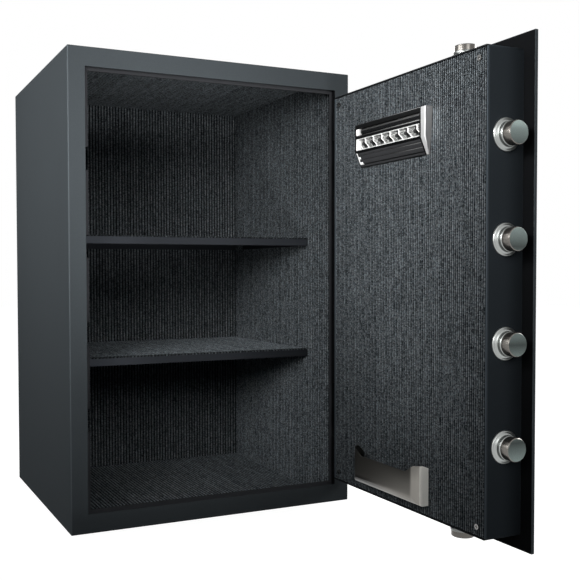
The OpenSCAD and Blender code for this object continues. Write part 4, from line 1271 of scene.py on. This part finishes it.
@dataclass
class SafeBody(Assembly):
    """The body: painted sheet, carpet lining, two shelves with mats and the hinges."""

    left: float = -195.0
    right: float = 178.0
    bottom: float = 5.0
    top: float = 595.0
    front: float = -157.0
    rear: float = 160.0
    sheet: float = 2.5
    mat: float = 2.0
    # Each shelf mat's name, top and shade; the shade is painted light
    mats: tuple[tuple[str, float, float], ...] = (("upper_shelf_mat", 374.5, 2.1),
                                                  ("lower_shelf_mat", 211.0, 3.3))
    shelf_span: Flat = (-194.5, 177.5)
    shelf_depth: Flat = (-89.5, 159.5)
    anchor_x: float = 120.0
    anchor_z: float = 188.0
    anchor_y: float = -119.0

    def build(self) -> None:
        """See Assembly.build."""
        dress = self.shop.dress
        dress(SHELL, "outer_shell", bevel=0.35)
        dress(CHARCOAL, "rear_panel", "hinge_pockets", bevel=0.35)
        dress(FLANGE, "front_frame", bevel=0.35)
        dress(CHARCOAL, "body_knuckles", bevel=0.5)
        dress(RIM, "hinge_side_liner", bevel=0.3)
        dress(DARK, "shelf_supports", bevel=0.3)
        dress(SHELF, "upper_shelf", "lower_shelf", bevel=0.5)
        dress(BOLT, "hinge_pins", bevel=0.5)
        for part, stands_for in (*self._lining(), *self._mats()):
            part.glue(self.shop, "safe_body", stands_for)

    def _lining(self) -> Iterable[tuple[RibbedSheet, str]]:
        """Draws the carpets on the walls.

        Yields:
            Each one, with the CAD node that it stands for.
        """
        t, left, right, front, rear = self.sheet, self.left, self.right, self.front, self.rear
        bottom, top = self.bottom, self.top
        x, y, z = Axis
        sides = (-self.anchor_x, self.anchor_x)
        # Each wall's shade is painted light: the one carpet made lighter or darker as its light falls
        yield RibbedSheet("left_wall_carpet", (left - t, front, bottom), (left, rear + t, top),
                          x, 1, z, 11, 1.5), "side_carpets"
        # The right wall's foot is painted paler and its front edge carries painted shade
        yield RibbedSheet("right_wall_carpet", (right, front, bottom), (right + t, rear, top),
                          x, -1, z, 12, 1.65, 0.2, foot=0.75, shaded_front=front), "side_carpets"
        yield RibbedSheet("back_wall_carpet", (left, rear, bottom), (right + t, rear + t, top),
                          y, -1, z, 13, 1.2, 0.05,
                          holes=[(side, rear, self.anchor_z) for side in sides]), "rear_carpet"
        yield RibbedSheet("roof_carpet", (left - t, front, top), (right + t, rear + t, top + t),
                          z, -1, y, 14, 0.82, 0.85, 0.6), "ceiling_carpet"
        yield RibbedSheet("base_carpet", (left - t, front, bottom - t), (right + t, rear + t, bottom),
                          z, 1, y, 15, 2.4,
                          holes=[(side, self.anchor_y, bottom) for side in sides]), "floor_carpet"

    def _mats(self) -> Iterable[tuple[RibbedSheet, str]]:
        """Draws the shelves' ribbed mats, whose ribs end in teeth at the front edge.

        Yields:
            Each one, with the CAD node that it stands for.
        """
        (left, right), (front, rear) = self.shelf_span, self.shelf_depth
        for name, top, shade in self.mats:
            # The mats' front edges carry painted shade
            yield RibbedSheet(name, (left, front, top - self.mat), (right, rear, top),
                              Axis.Z, 1, Axis.Y, 21, shade, rib_depth=1.5, shaded_front=front), "shelf_mats"


# The door


@dataclass
class Door(Assembly):
    """The door leaf: plate, folded box, carpeted back panel, bolt collars and hinge knuckles."""

    box_left: float = -157.7
    box_bottom: float = 44.5
    box_top: float = 555.5
    panel_low: Point = (-155.2, -115.5, 47.0)
    panel_high: Point = (131.7, -113.5, 553.0)
    pitch: float = 3.3
    # Where a painted pool of light lies on the panel's carpet beside the lamp's cap: the y where it is
    # palest, its reach, and its lowest and highest z
    bright: tuple[float, float, float, float] = (-413.0, 34.0, 452.0, 509.0)
    bolt_y: float = -137.7
    bolt_zs: tuple[float, ...] = (140.6, 248.6, 356.6, 464.6)
    end_bolt_x: float = -94.6
    bore: float = 12.55

    def build(self) -> None:
        """See Assembly.build."""
        dress = self.shop.dress
        dress(PLATE, "door_plate", bevel=0.5)
        dress(BOX, "door_box", bevel=0.35)
        dress(CHARCOAL, "door_knuckles", bevel=0.5)
        dress(RIM, "back_panel")
        dress(SCREW, "panel_screws", bevel=0.2)
        # The panel's shade and its bright patch are painted light
        panel = RibbedSheet("door_panel_carpet", self.panel_low, self.panel_high, Axis.Y, 1, Axis.Z,
                            31, 0.97, 0.14, 0.95, self.pitch, Place.DOOR, bright=self.bright)
        panel.glue(self.shop, "door", "panel_carpet")
        self._collars()

    def _collars(self) -> None:
        """Turns the six collars: a coned ring in two steps, a groove, and a barrel round the bore."""
        bore = self.bore
        barrel = [(12.95, 4.95), (13.15, 5.0), (13.35, 5.3), (13.4, 6.2), (13.4, 7.4), (13.3, 7.9),
                  (13.05, 8.3), (12.8, 8.45), (bore, 8.4)]
        dome = [(17.7, 0), (17.7, 1.0), (17.6, 1.45), (17.35, 1.85), (16.9, 2.3), (16.4, 2.6),
                (16.25, 2.6), (16.1, 2.75), (15.4, 3.5), (14.7, 4.1), (14.0, 4.5), (13.5, 4.65),
                (13.2, 4.55), (12.95, 4.3)]
        inside = [(bore, -7.5), (13.9, -7.5), (13.9, -6.5), (16.7, -6.5), (16.7, -1.5), (13.9, -1.5),
                  (13.9, 0)]
        mesh = bmesh.new()
        spots = [((self.box_left, self.bolt_y, z), -math.pi / 2, "Y") for z in self.bolt_zs]
        spots += [((self.end_bolt_x, self.bolt_y, self.box_top), 0.0, "X"),
                  ((self.end_bolt_x, self.bolt_y, self.box_bottom), math.pi, "X")]
        for where, angle, axis in spots:
            lathe(mesh, inside + dome + barrel, Matrix.Translation(where) @ Matrix.Rotation(angle, 4, axis))
        self.shop.piece("turned_collars", mesh, COLLAR, replaces=["bolt_collars"], smooth=42.0)


# Lamp and pocket


def held(value: float) -> float:
    """The value held between 0 and 1."""
    return min(1.0, max(0.0, value))


@dataclass
class Lamp(Assembly):
    """The strip lamp on the door panel: ridged black housing, reflector with seven lights, bright ends."""

    end: float = -70.0
    left: float = -61.7
    right: float = 70.0
    cheeks: Flat = (2.6, 1.9)
    rim: float = 2.0
    taper: float = 4.6
    top: float = 508.0
    face: float = -113.5
    depth: float = 10.0
    foot_depth: float = 1.5
    height: float = 53.0
    kink: float = 33.5
    lip: float = 49.6
    slot: Flat = (5.6, 14.0)
    window: Flat = (18.0, 32.6)
    lights: int = 7

    def slope(self, down: float, sink: float = 0.0) -> Flat:
        """A point on the slanted lower part, as (outward, down).

        Args:
            down: distance below the lamp's top, in mm.
            sink: how far below the surface, in mm.

        Returns:
            The point.
        """
        share = (down - self.kink) / (self.height - self.kink)
        return (self.depth + (self.foot_depth - self.depth) * share - sink, down)

    def outline(self, slots: bool) -> list[Flat]:
        """The housing's section as (outward, down) points.

        Args:
            slots: whether the slider slot, the reflector window and the grooves below are cut in.

        Returns:
            The outline.
        """
        d = self.depth
        points = [(0, 0), (d - 1.1, 0), (d - 0.3, 0.3), (d, 1.1)]
        if slots:
            a, b = self.slot
            points += [(d, a), (d - 4.6, a + 0.4), (d - 4.6, b - 0.2), (d, b), (d, b + 0.1)]
            a, b = self.window
            points += [(d, a), (d - 5.9, a + 0.2), (d - 5.9, b - 0.2), (d, b)]
        points.append((d, self.kink))
        if slots:
            points += [self.slope(self.kink + 1.2), self.slope(self.kink + 1.3, 1.2),
                       self.slope(self.height - 0.6, 1.2)]
        return points + [self.slope(self.height), (0, self.height)]

    def lift(self, out: float, down: float, along: float) -> Point:
        """A point of the section, in the door's drawing axes."""
        return (along, self.face + out, self.top - down)

    def build(self) -> None:
        """See Assembly.build."""
        self.shop.dress(LENS, "lamp_leds")
        start, end = self.left + self.cheeks[0], self.right - self.cheeks[1]
        plain = self.outline(False)
        self._bars("lamp_shell", LAMP_BLACK, [(self.outline(True), start, end), (plain, self.left, start),
                                              (plain, end, self.right)], ["lamp_housing"], 30.0)
        self._cap(plain)
        self._foot(start, end)
        self._slider()
        self._lines()
        self._reflector()

    def _bars(self, name: str, finish: Finish, bars: Iterable[tuple[Sequence[Flat], float, float]],
              replaces: Sequence[str] = (), smooth: float = 35.0) -> None:
        """Makes a piece of bars that lie along the lamp.

        Args:
            name: its name.
            finish: its finish.
            bars: the outline, start and end of each.
            replaces: as in Workshop.piece.
            smooth: as in Workshop.piece.
        """
        mesh = bmesh.new()
        for outline, start, end in bars:
            prism(mesh, outline, start, end, self.lift)
        self.shop.piece(name, mesh, finish, replaces=replaces, smooth=smooth)

    def _cap(self, outline: Sequence[Flat]) -> None:
        """Makes the bright cap at the free end, narrowing towards its foot.

        Args:
            outline: its section.
        """
        mesh = bmesh.new()
        rings = []
        for share, pull in ((0.0, 0.35), (0.045, 0.0), (1.0, 0.0)):
            rings.append([])
            for out, down in outline:
                outer = self.end + self.taper * max(0.0, down - self.kink) / (self.height - self.kink)
                point = self.lift(max(0.0, out - pull), down + (pull if down < 1 else 0),
                                  outer + (self.left - outer) * share)
                rings[-1].append(mesh.verts.new(point))
        skin(mesh, rings)
        self.shop.piece("lamp_cap", mesh, TRIM, replaces=["lamp_trim"])

    def _foot(self, start: float, end: float) -> None:
        """Makes the slanted grey slats below the window, with a dark groove above the lip.

        Args:
            start: where they start along the lamp.
            end: where they end.
        """
        stops = [self.kink + 2.1, 38.8, 44.0, self.lip - 0.6]
        bands = [(a + 0.18, b - 0.18) for a, b in zip(stops, stops[1:])]
        bands.append((self.lip + 0.5, self.height - 0.7))
        slats = [[self.slope(a, 1.4), self.slope(a, 0.1), self.slope(a + 0.25), self.slope(b - 0.25),
                  self.slope(b, 0.1), self.slope(b, 1.4)] for a, b in bands]
        self._bars("lamp_foot", FOOT, [(slat, start, end) for slat in slats])

    def _slider(self) -> None:
        """Makes the round bar in the slot, with its painted sheen."""
        (a, b), sides = self.slot, 28
        out, centre, radius = self.depth - 4.1, (a + b) / 2, (b - a) / 2 - 0.35
        start, tip = self.left + 2.7, self.right - 8.6 - radius
        stops = [(start, radius), (tip, radius)]
        stops += [(tip + radius * math.sin(t), radius * math.cos(t)) for t in (0.4, 0.8, 1.1, 1.35, 1.5)]
        # The painted sheen lies on six of the bar's sides, as far as its rounded end
        for name, finish, first, stations, swell in (("lamp_slider", BAR, 0, stops, 0.0),
                                                     ("lamp_slider_sheen", SHEEN, 22, stops[:3], 0.06)):
            mesh = bmesh.new()
            points = [[self.lift(out + (0.9 * r + swell) * x, centre + (r + swell) * y, along)
                       for x, y in circle(sides)[first:]] for along, r in stations]
            skin(mesh, [[mesh.verts.new(point) for point in ring] for ring in points], whole=not first,
                 capped=not first)
            self.shop.piece(name, mesh, finish, smooth=40.0)

    @staticmethod
    def _block(down: Flat, out: Flat) -> list[Flat]:
        """The outline of a fine bar with rounded edges, from its reaches down and out."""
        (a, b), (back, front) = down, out
        return rounded([(back, a), (front, a), (front, b), (back, b)], 0.22, 2)

    def _slat(self, down: float, tall: float, sink: float, rise: float) -> list[Flat]:
        """The outline of a strip on the slanted part, by its start, height, depth and rise."""
        return [self.slope(at, deep) for at, deep in ((down, sink), (down, -rise), (down + tall, -rise),
                                                      (down + tall, sink))]

    def _lines(self) -> None:
        """Makes the painted highlight lines along the housing and the silver end pieces."""
        d, (a, b), (c, e) = self.depth, self.slot, self.window
        left, right, far = self.left, self.right, self.right - self.rim
        ridge = [(d - 1.3, 0.0), (d - 1.15, 0.0), (d - 0.28, 0.28), (d - 0.02, 1.15), (d - 0.6, 1.0)]
        self._bars("lamp_top_glint", TOP_GLINT, [(ridge, left + 0.2, far)])
        self._bars("lamp_slot_glint", SLOT_GLINT,
                   [(self._block((b - 0.1, b + 1.1), (d - 3, d + 0.08)), left + 2.7, far)])
        self._bars("lamp_foot_glints", FOOT_GLINT,
                   [(self._slat(down, 0.75, 0.6, 0.02), left + 2.8, left + 62.0) for down in (39.0, 44.2)])
        ends = [(self._block((a + 0.35, b - 0.2), (d - 4.4, d - 0.3)), right - 8.2, far),
                (self._block((c + 0.4, e - 0.4), (d - 5.4, d - 0.3)), right - 5.0, far)]
        slats = ((self.kink + 2.2, 3.3, self.lip - self.kink - 2.6), (40.4, 7.4, 2.6), (46.6, 8.6, 2.9))
        ends += [(self._slat(down, tall, 1.6, 0.03), right - wide, right - 1.6)
                 for down, wide, tall in slats]
        self._bars("lamp_silver_ends", SILVER, ends)

    def dish_depth(self, x: float, v: float) -> float:
        """How far the reflector lies behind the lamp's face, in mm.

        Args:
            x: place along the lamp.
            v: place across the window, from -1 at its top to 1 at its bottom.

        Returns:
            The depth.
        """
        sweep = 0.62 * max(0.0, v + 0.25) ** 1.4
        cell = (x - FIRST_LIGHT) / LIGHT_PITCH
        u = 2 * (cell - min(max(round(cell + sweep / 2), 0), self.lights - 1)) + sweep
        half = 0.30 + 0.26 * held((v + 0.1) / 0.5)
        slot = held((half + 0.12 - abs(u)) / 0.12) * held((0.80 - abs(v)) / 0.10)
        ridge = held(1 - ((u + half + 0.24) / 0.26) ** 2)
        lens = 3.4 * (1 - ridge) * (1 - held((abs(v) - 0.74) / 0.12))
        dish = 0.8 + lens * held((abs(u) - 0.1) / 0.35)
        return dish + (5.15 - dish) * slot

    def _reflector(self) -> None:
        """Presses the seven swept dishes and the slots round the lights into the reflector."""
        a, b = self.window
        middle, half = (a + b) / 2, (b - a) / 2 - 0.15
        columns, rows = self.lights * 38 + 8, 36
        start, end = self.left + 2.7, self.right - self.rim
        xs = [start + (end - start) * c / columns for c in range(columns + 1)]
        mesh = bmesh.new()
        rings = [[mesh.verts.new(self.lift(self.depth - self.dish_depth(x, v), middle + v * half, x))
                  for x in xs] for v in (-1 + 2 * r / rows for r in range(rows + 1))]
        skin(mesh, rings, whole=False, capped=False)
        bmesh.ops.solidify(mesh, geom=list(mesh.faces), thickness=0.25)
        bmesh.ops.recalc_face_normals(mesh, faces=mesh.faces)
        self.shop.piece("lamp_dishes", mesh, DISH, replaces=["lamp_reflector"], smooth=60.0)


@dataclass
class DocumentPocket(Assembly):
    """The sheet-metal pocket at the foot of the door panel; its ends are cut down towards the panel."""

    flat: float = 142.5
    panel: float = 150.5
    top: float = 104.0
    near: float = 0.1
    drops: tuple[Flat, ...] = ((-407.4, 3.0), (-278.6, 8.5))

    def build(self) -> None:
        """See Assembly.build."""
        mesh = bmesh.new()
        mesh.from_mesh(self.shop.nodes["document_pocket"].data)
        bmesh.ops.transform(mesh, matrix=Matrix.Scale(1 / MM, 4), verts=mesh.verts)
        bmesh.ops.remove_doubles(mesh, verts=mesh.verts, dist=0.001)
        bmesh.ops.bisect_plane(mesh, geom=[*mesh.verts, *mesh.edges, *mesh.faces], dist=0.001,
                               plane_co=(self.flat, 0.0, 0.0), plane_no=(1.0, 0.0, 0.0))
        for vert in mesh.verts:
            for middle, drop in self.drops:
                corner = vert.co.x > self.panel - self.near and vert.co.z > self.top - self.near
                if corner and abs(vert.co.y - middle) < 1:
                    vert.co.z -= drop
        self.shop.piece("pocket_sheet", mesh, PEWTER, Place.BODY, ["document_pocket"], bevel=0.3)


# Moving and outer parts


@dataclass
class BoltWork(Assembly):
    """The round bolts and what drives them."""

    wire: float = 0.5
    turns: int = 5
    travel: float = 6.5

    def build(self) -> None:
        """See Assembly.build."""
        dress = self.shop.dress
        dress(BOLT, "side_bolts", "top_bolt", "bottom_bolt", bevel=0.6)
        dress(ZINC, "bolt_carrier", "rod_guides", "spindle", "plunger")
        dress(BRASS, "spindle_bush", "key_cylinder")
        dress(COIL, "solenoid")
        dress(BOARD, "circuit_boards")
        dress(BLACK, "battery_holder", "cables")
        low, high = (corner.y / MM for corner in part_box("batteries"))
        dress(Sleeve("battery_sleeve", "battery", low, high), "batteries")
        self._spring()

    def _spring(self) -> None:
        """Winds the plunger's return spring to the length of its CAD node."""
        low, high = (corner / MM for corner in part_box("plunger_spring"))
        middle, length, steps = (low + high) / 2, high.z - low.z, 24
        radius, rise = (high.x - low.x) / 2 - self.wire, length - 2 * self.wire
        count, lead = steps * self.turns, rise / (2 * math.pi * self.turns)
        mesh = bmesh.new()
        rings = []
        for i in range(count + 1):
            turn = 2 * math.pi * i / steps
            outward = Vector((-math.sin(turn), math.cos(turn), 0.0))
            ahead = Vector((-radius * math.cos(turn), -radius * math.sin(turn), lead))
            beside = ahead.normalized().cross(outward)
            centre = Vector((middle.x, middle.y, low.z + self.wire + rise * i / count)) + outward * radius
            rings.append([mesh.verts.new(centre + self.wire * (outward * x + beside * y))
                          for x, y in circle(8)])
        skin(mesh, rings)
        spring = self.shop.piece("return_spring", mesh, ZINC, Place.BODY, ["plunger_spring"], smooth=50.0)
        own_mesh(spring)


@dataclass
class Keypad(Assembly):
    """The keypad outside the door, with digits on its keys, and the override lock under its cover."""

    legends: str = "123456789*0#"
    letter: float = 7.4
    ink: float = 0.06

    def build(self) -> None:
        """See Assembly.build."""
        dress = self.shop.dress
        dress(BLACK, "keypad_housing", bevel=0.5)
        dress(WINDOW, "display_window", bevel=0.2)
        dress(SATIN, "key_plug", bevel=0.2)
        dress(BLACK, "key_cover", bevel=0.3)
        for number, legend in enumerate(self.legends, 1):
            dress(KEYS, f"key_{number}", bevel=0.35)
            self._print(f"key_{number}", legend)

    def _print(self, key: str, legend: str) -> None:
        """Prints one key.

        Args:
            key: its name.
            legend: what stands on it.
        """
        low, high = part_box(key)
        curve = bpy.data.curves.new("legend", "FONT")
        curve.body = legend
        curve.size = self.letter * MM
        curve.align_x = curve.align_y = "CENTER"
        curve.extrude = self.ink * MM
        sign = put("legend", curve)
        middle = (low + high) / 2
        # The open door's outer face looks along +X, and its hinge side is at +Y
        sign.matrix_world = Matrix.Translation((high.x, middle.y, middle.z)) @ Matrix(
            ((0, 0, 1, 0), (1, 0, 0, 0), (0, 1, 0, 0), (0, 0, 0, 1)))
        bpy.context.view_layer.update()
        data = bpy.data.meshes.new_from_object(sign.evaluated_get(bpy.context.evaluated_depsgraph_get()))
        data.transform(sign.matrix_world)
        bpy.data.objects.remove(sign)
        self.shop.from_data(f"{key}_legend", data, INK, key)


@dataclass
class Handle(Assembly):
    """The lever and its rose."""

    def build(self) -> None:
        """See Assembly.build."""
        self.shop.dress(SATIN, "handle", bevel=0.8)
        self.shop.dress(CHROME, "handle_rose", bevel=0.4)


# Studio


@dataclass
class Studio:
    """Camera, lamps, white surroundings and the pale floor, in metres, degrees and the photo's pixels."""

    eye: Point = (-0.4540, -1.1779, 0.3233)
    pitch: float = 1.77
    yaw: float = 24.19
    roll: float = 0.2
    lens: float = 52.40
    centre: Flat = (219.51, 298.75)
    floor_radius: float = 7.0
    floor_drop: float = 0.0004
    paper: Colour = (0.26, 0.26, 0.26)

    # Name, place, target, width in metres, power in watts and the angle of the grid in front
    lamps: tuple[tuple[str, Point, Point, float, float, float], ...] = (
        ("key", (-0.70, -0.85, 0.60), (0.0, -0.15, 0.58), 0.40, 1.45, 76),
        ("side", (-1.30, 0.10, 0.70), (-0.2, 0.0, 0.48), 0.50, 0.38, 80),
        ("side_high", (-1.20, 0.10, 1.10), (-0.2, 0.0, 0.55), 0.50, 1.25, 60),
        ("front", (-0.25, -1.30, 0.85), (0.0, -0.15, 0.47), 0.80, 0.74, 50),
        ("panel", (-0.75, -0.52, 0.80), (0.15, -0.46, 0.54), 0.25, 0.52, 40),
        ("kicker", (0.0, -0.56, 0.01), (0.0, 0.0, 0.60), 0.15, 0.61, 60),
        ("back", (0.9, 1.8, 1.2), (0.0, 0.1, 0.35), 1.2, 7.0, 70),
        ("outer", (1.9, -0.6, 1.0), (0.2, -0.3, 0.3), 1.0, 7.0, 70))

    def build(self) -> None:
        """Sets up the studio."""
        self._camera()
        self._world()
        self._floor()
        self._lamps()

    def _camera(self) -> None:
        """Puts the camera where the photograph was taken from."""
        data = bpy.data.cameras.new("camera")
        data.sensor_width = 36.0
        data.lens = self.lens
        data.shift_x = 0.5 - self.centre[0] / PHOTO_PIXELS
        data.shift_y = self.centre[1] / PHOTO_PIXELS - 0.5
        data.clip_start = 0.01
        camera = put("camera", data)
        camera.location = self.eye
        camera.rotation_euler = Euler((math.radians(90 - self.pitch), math.radians(self.roll),
                                       math.radians(-self.yaw)))
        bpy.context.scene.camera = camera
        bpy.context.scene.view_settings.view_transform = "Standard"

    @staticmethod
    def _seen(nodes: bpy.types.NodeTree) -> bpy.types.NodeSocket:
        """Finds what the camera sees, straight or in metal and glass.

        Args:
            nodes: the tree that the nodes go in.

        Returns:
            A factor that is 1 there and 0 elsewhere.
        """
        path = nodes.nodes.new("ShaderNodeLightPath")
        factor = path.outputs["Is Camera Ray"]
        for name in ("Is Glossy Ray", "Is Transmission Ray"):
            both = nodes.nodes.new("ShaderNodeMath")
            both.operation = "MAXIMUM"
            nodes.links.new(factor, both.inputs[0])
            nodes.links.new(path.outputs[name], both.inputs[1])
            factor = both.outputs[0]
        return factor

    def _world(self) -> None:
        """A white world to look at, and a dim one to be lit by."""
        world = bpy.data.worlds.new("studio")
        bpy.context.scene.world = world
        world.use_nodes = True
        tree = world.node_tree
        tree.nodes.clear()
        choice = tree.nodes.new("ShaderNodeMixShader")
        tree.links.new(self._seen(tree), choice.inputs[0])
        # What lights the scene, then what the camera sees
        for place, (colour, strength) in enumerate((((0.86, 0.93, 1.0), 0.15), ((1.0, 1.0, 1.0), 1.0)), 1):
            sky = tree.nodes.new("ShaderNodeBackground")
            sky.inputs["Color"].default_value = (*colour, 1.0)
            sky.inputs["Strength"].default_value = strength
            tree.links.new(sky.outputs[0], choice.inputs[place])
        tree.links.new(choice.outputs[0], tree.nodes.new("ShaderNodeOutputWorld").inputs[0])

    def _floor(self) -> None:
        """A wide pale floor that the camera sees as white, apart from the object's shadow."""
        mesh = bmesh.new()
        bmesh.ops.create_circle(mesh, cap_ends=True, segments=96, radius=self.floor_radius)
        data = bake("studio_floor", mesh, Matrix.Translation((0, 0, -self.floor_drop)))
        shader = Shader("floor_paper")
        paper = shader.node("ShaderNodeBsdfDiffuse", {}, {"Color": self.paper})
        away = shader.node("ShaderNodeVectorMath", {"operation": "LENGTH"}, {0: shader.place()}, "Value")
        glow = shader.node("ShaderNodeEmission", {},
                           {"Color": (1.0, 1.0, 1.0), "Strength": 0.94 + 0.08 * away.step(0.4, 1.5)})
        both = shader.node("ShaderNodeAddShader", {}, {0: paper, 1: glow})
        choice = shader.node("ShaderNodeMixShader", {}, {1: paper, 2: both})
        shader.tree.links.new(self._seen(shader.tree), choice.socket.node.inputs[0])
        shader.node_output(choice)
        data.materials.append(shader.material)
        put("studio_floor", data)

    def _lamps(self) -> None:
        """Hangs the soft lamps."""
        for name, where, target, size, power, grid in self.lamps:
            data = bpy.data.lights.new(name, "AREA")
            data.shape = "DISK"
            data.size = size
            data.energy = power
            data.spread = math.radians(grid)
            lamp = put(name, data)
            lamp.location = where
            lamp.rotation_euler = (Vector(target) - Vector(where)).to_track_quat("-Z", "Y").to_euler()


def main() -> None:
    """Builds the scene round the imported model."""
    logging.basicConfig(level=logging.INFO, format="%(name)s: %(message)s")
    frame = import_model()
    shop = Workshop(frame["nodes"])
    Studio().build()
    for kind in (SafeBody, Door, Lamp, DocumentPocket, BoltWork, Keypad, Handle):
        kind(shop).build()
        LOG.info("built %s", kind.__name__)
    for name in sorted(set(frame["nodes"]) - shop.dressed):
        LOG.warning("node %s has no finish", name)


if __name__ == "__main__":
    main()
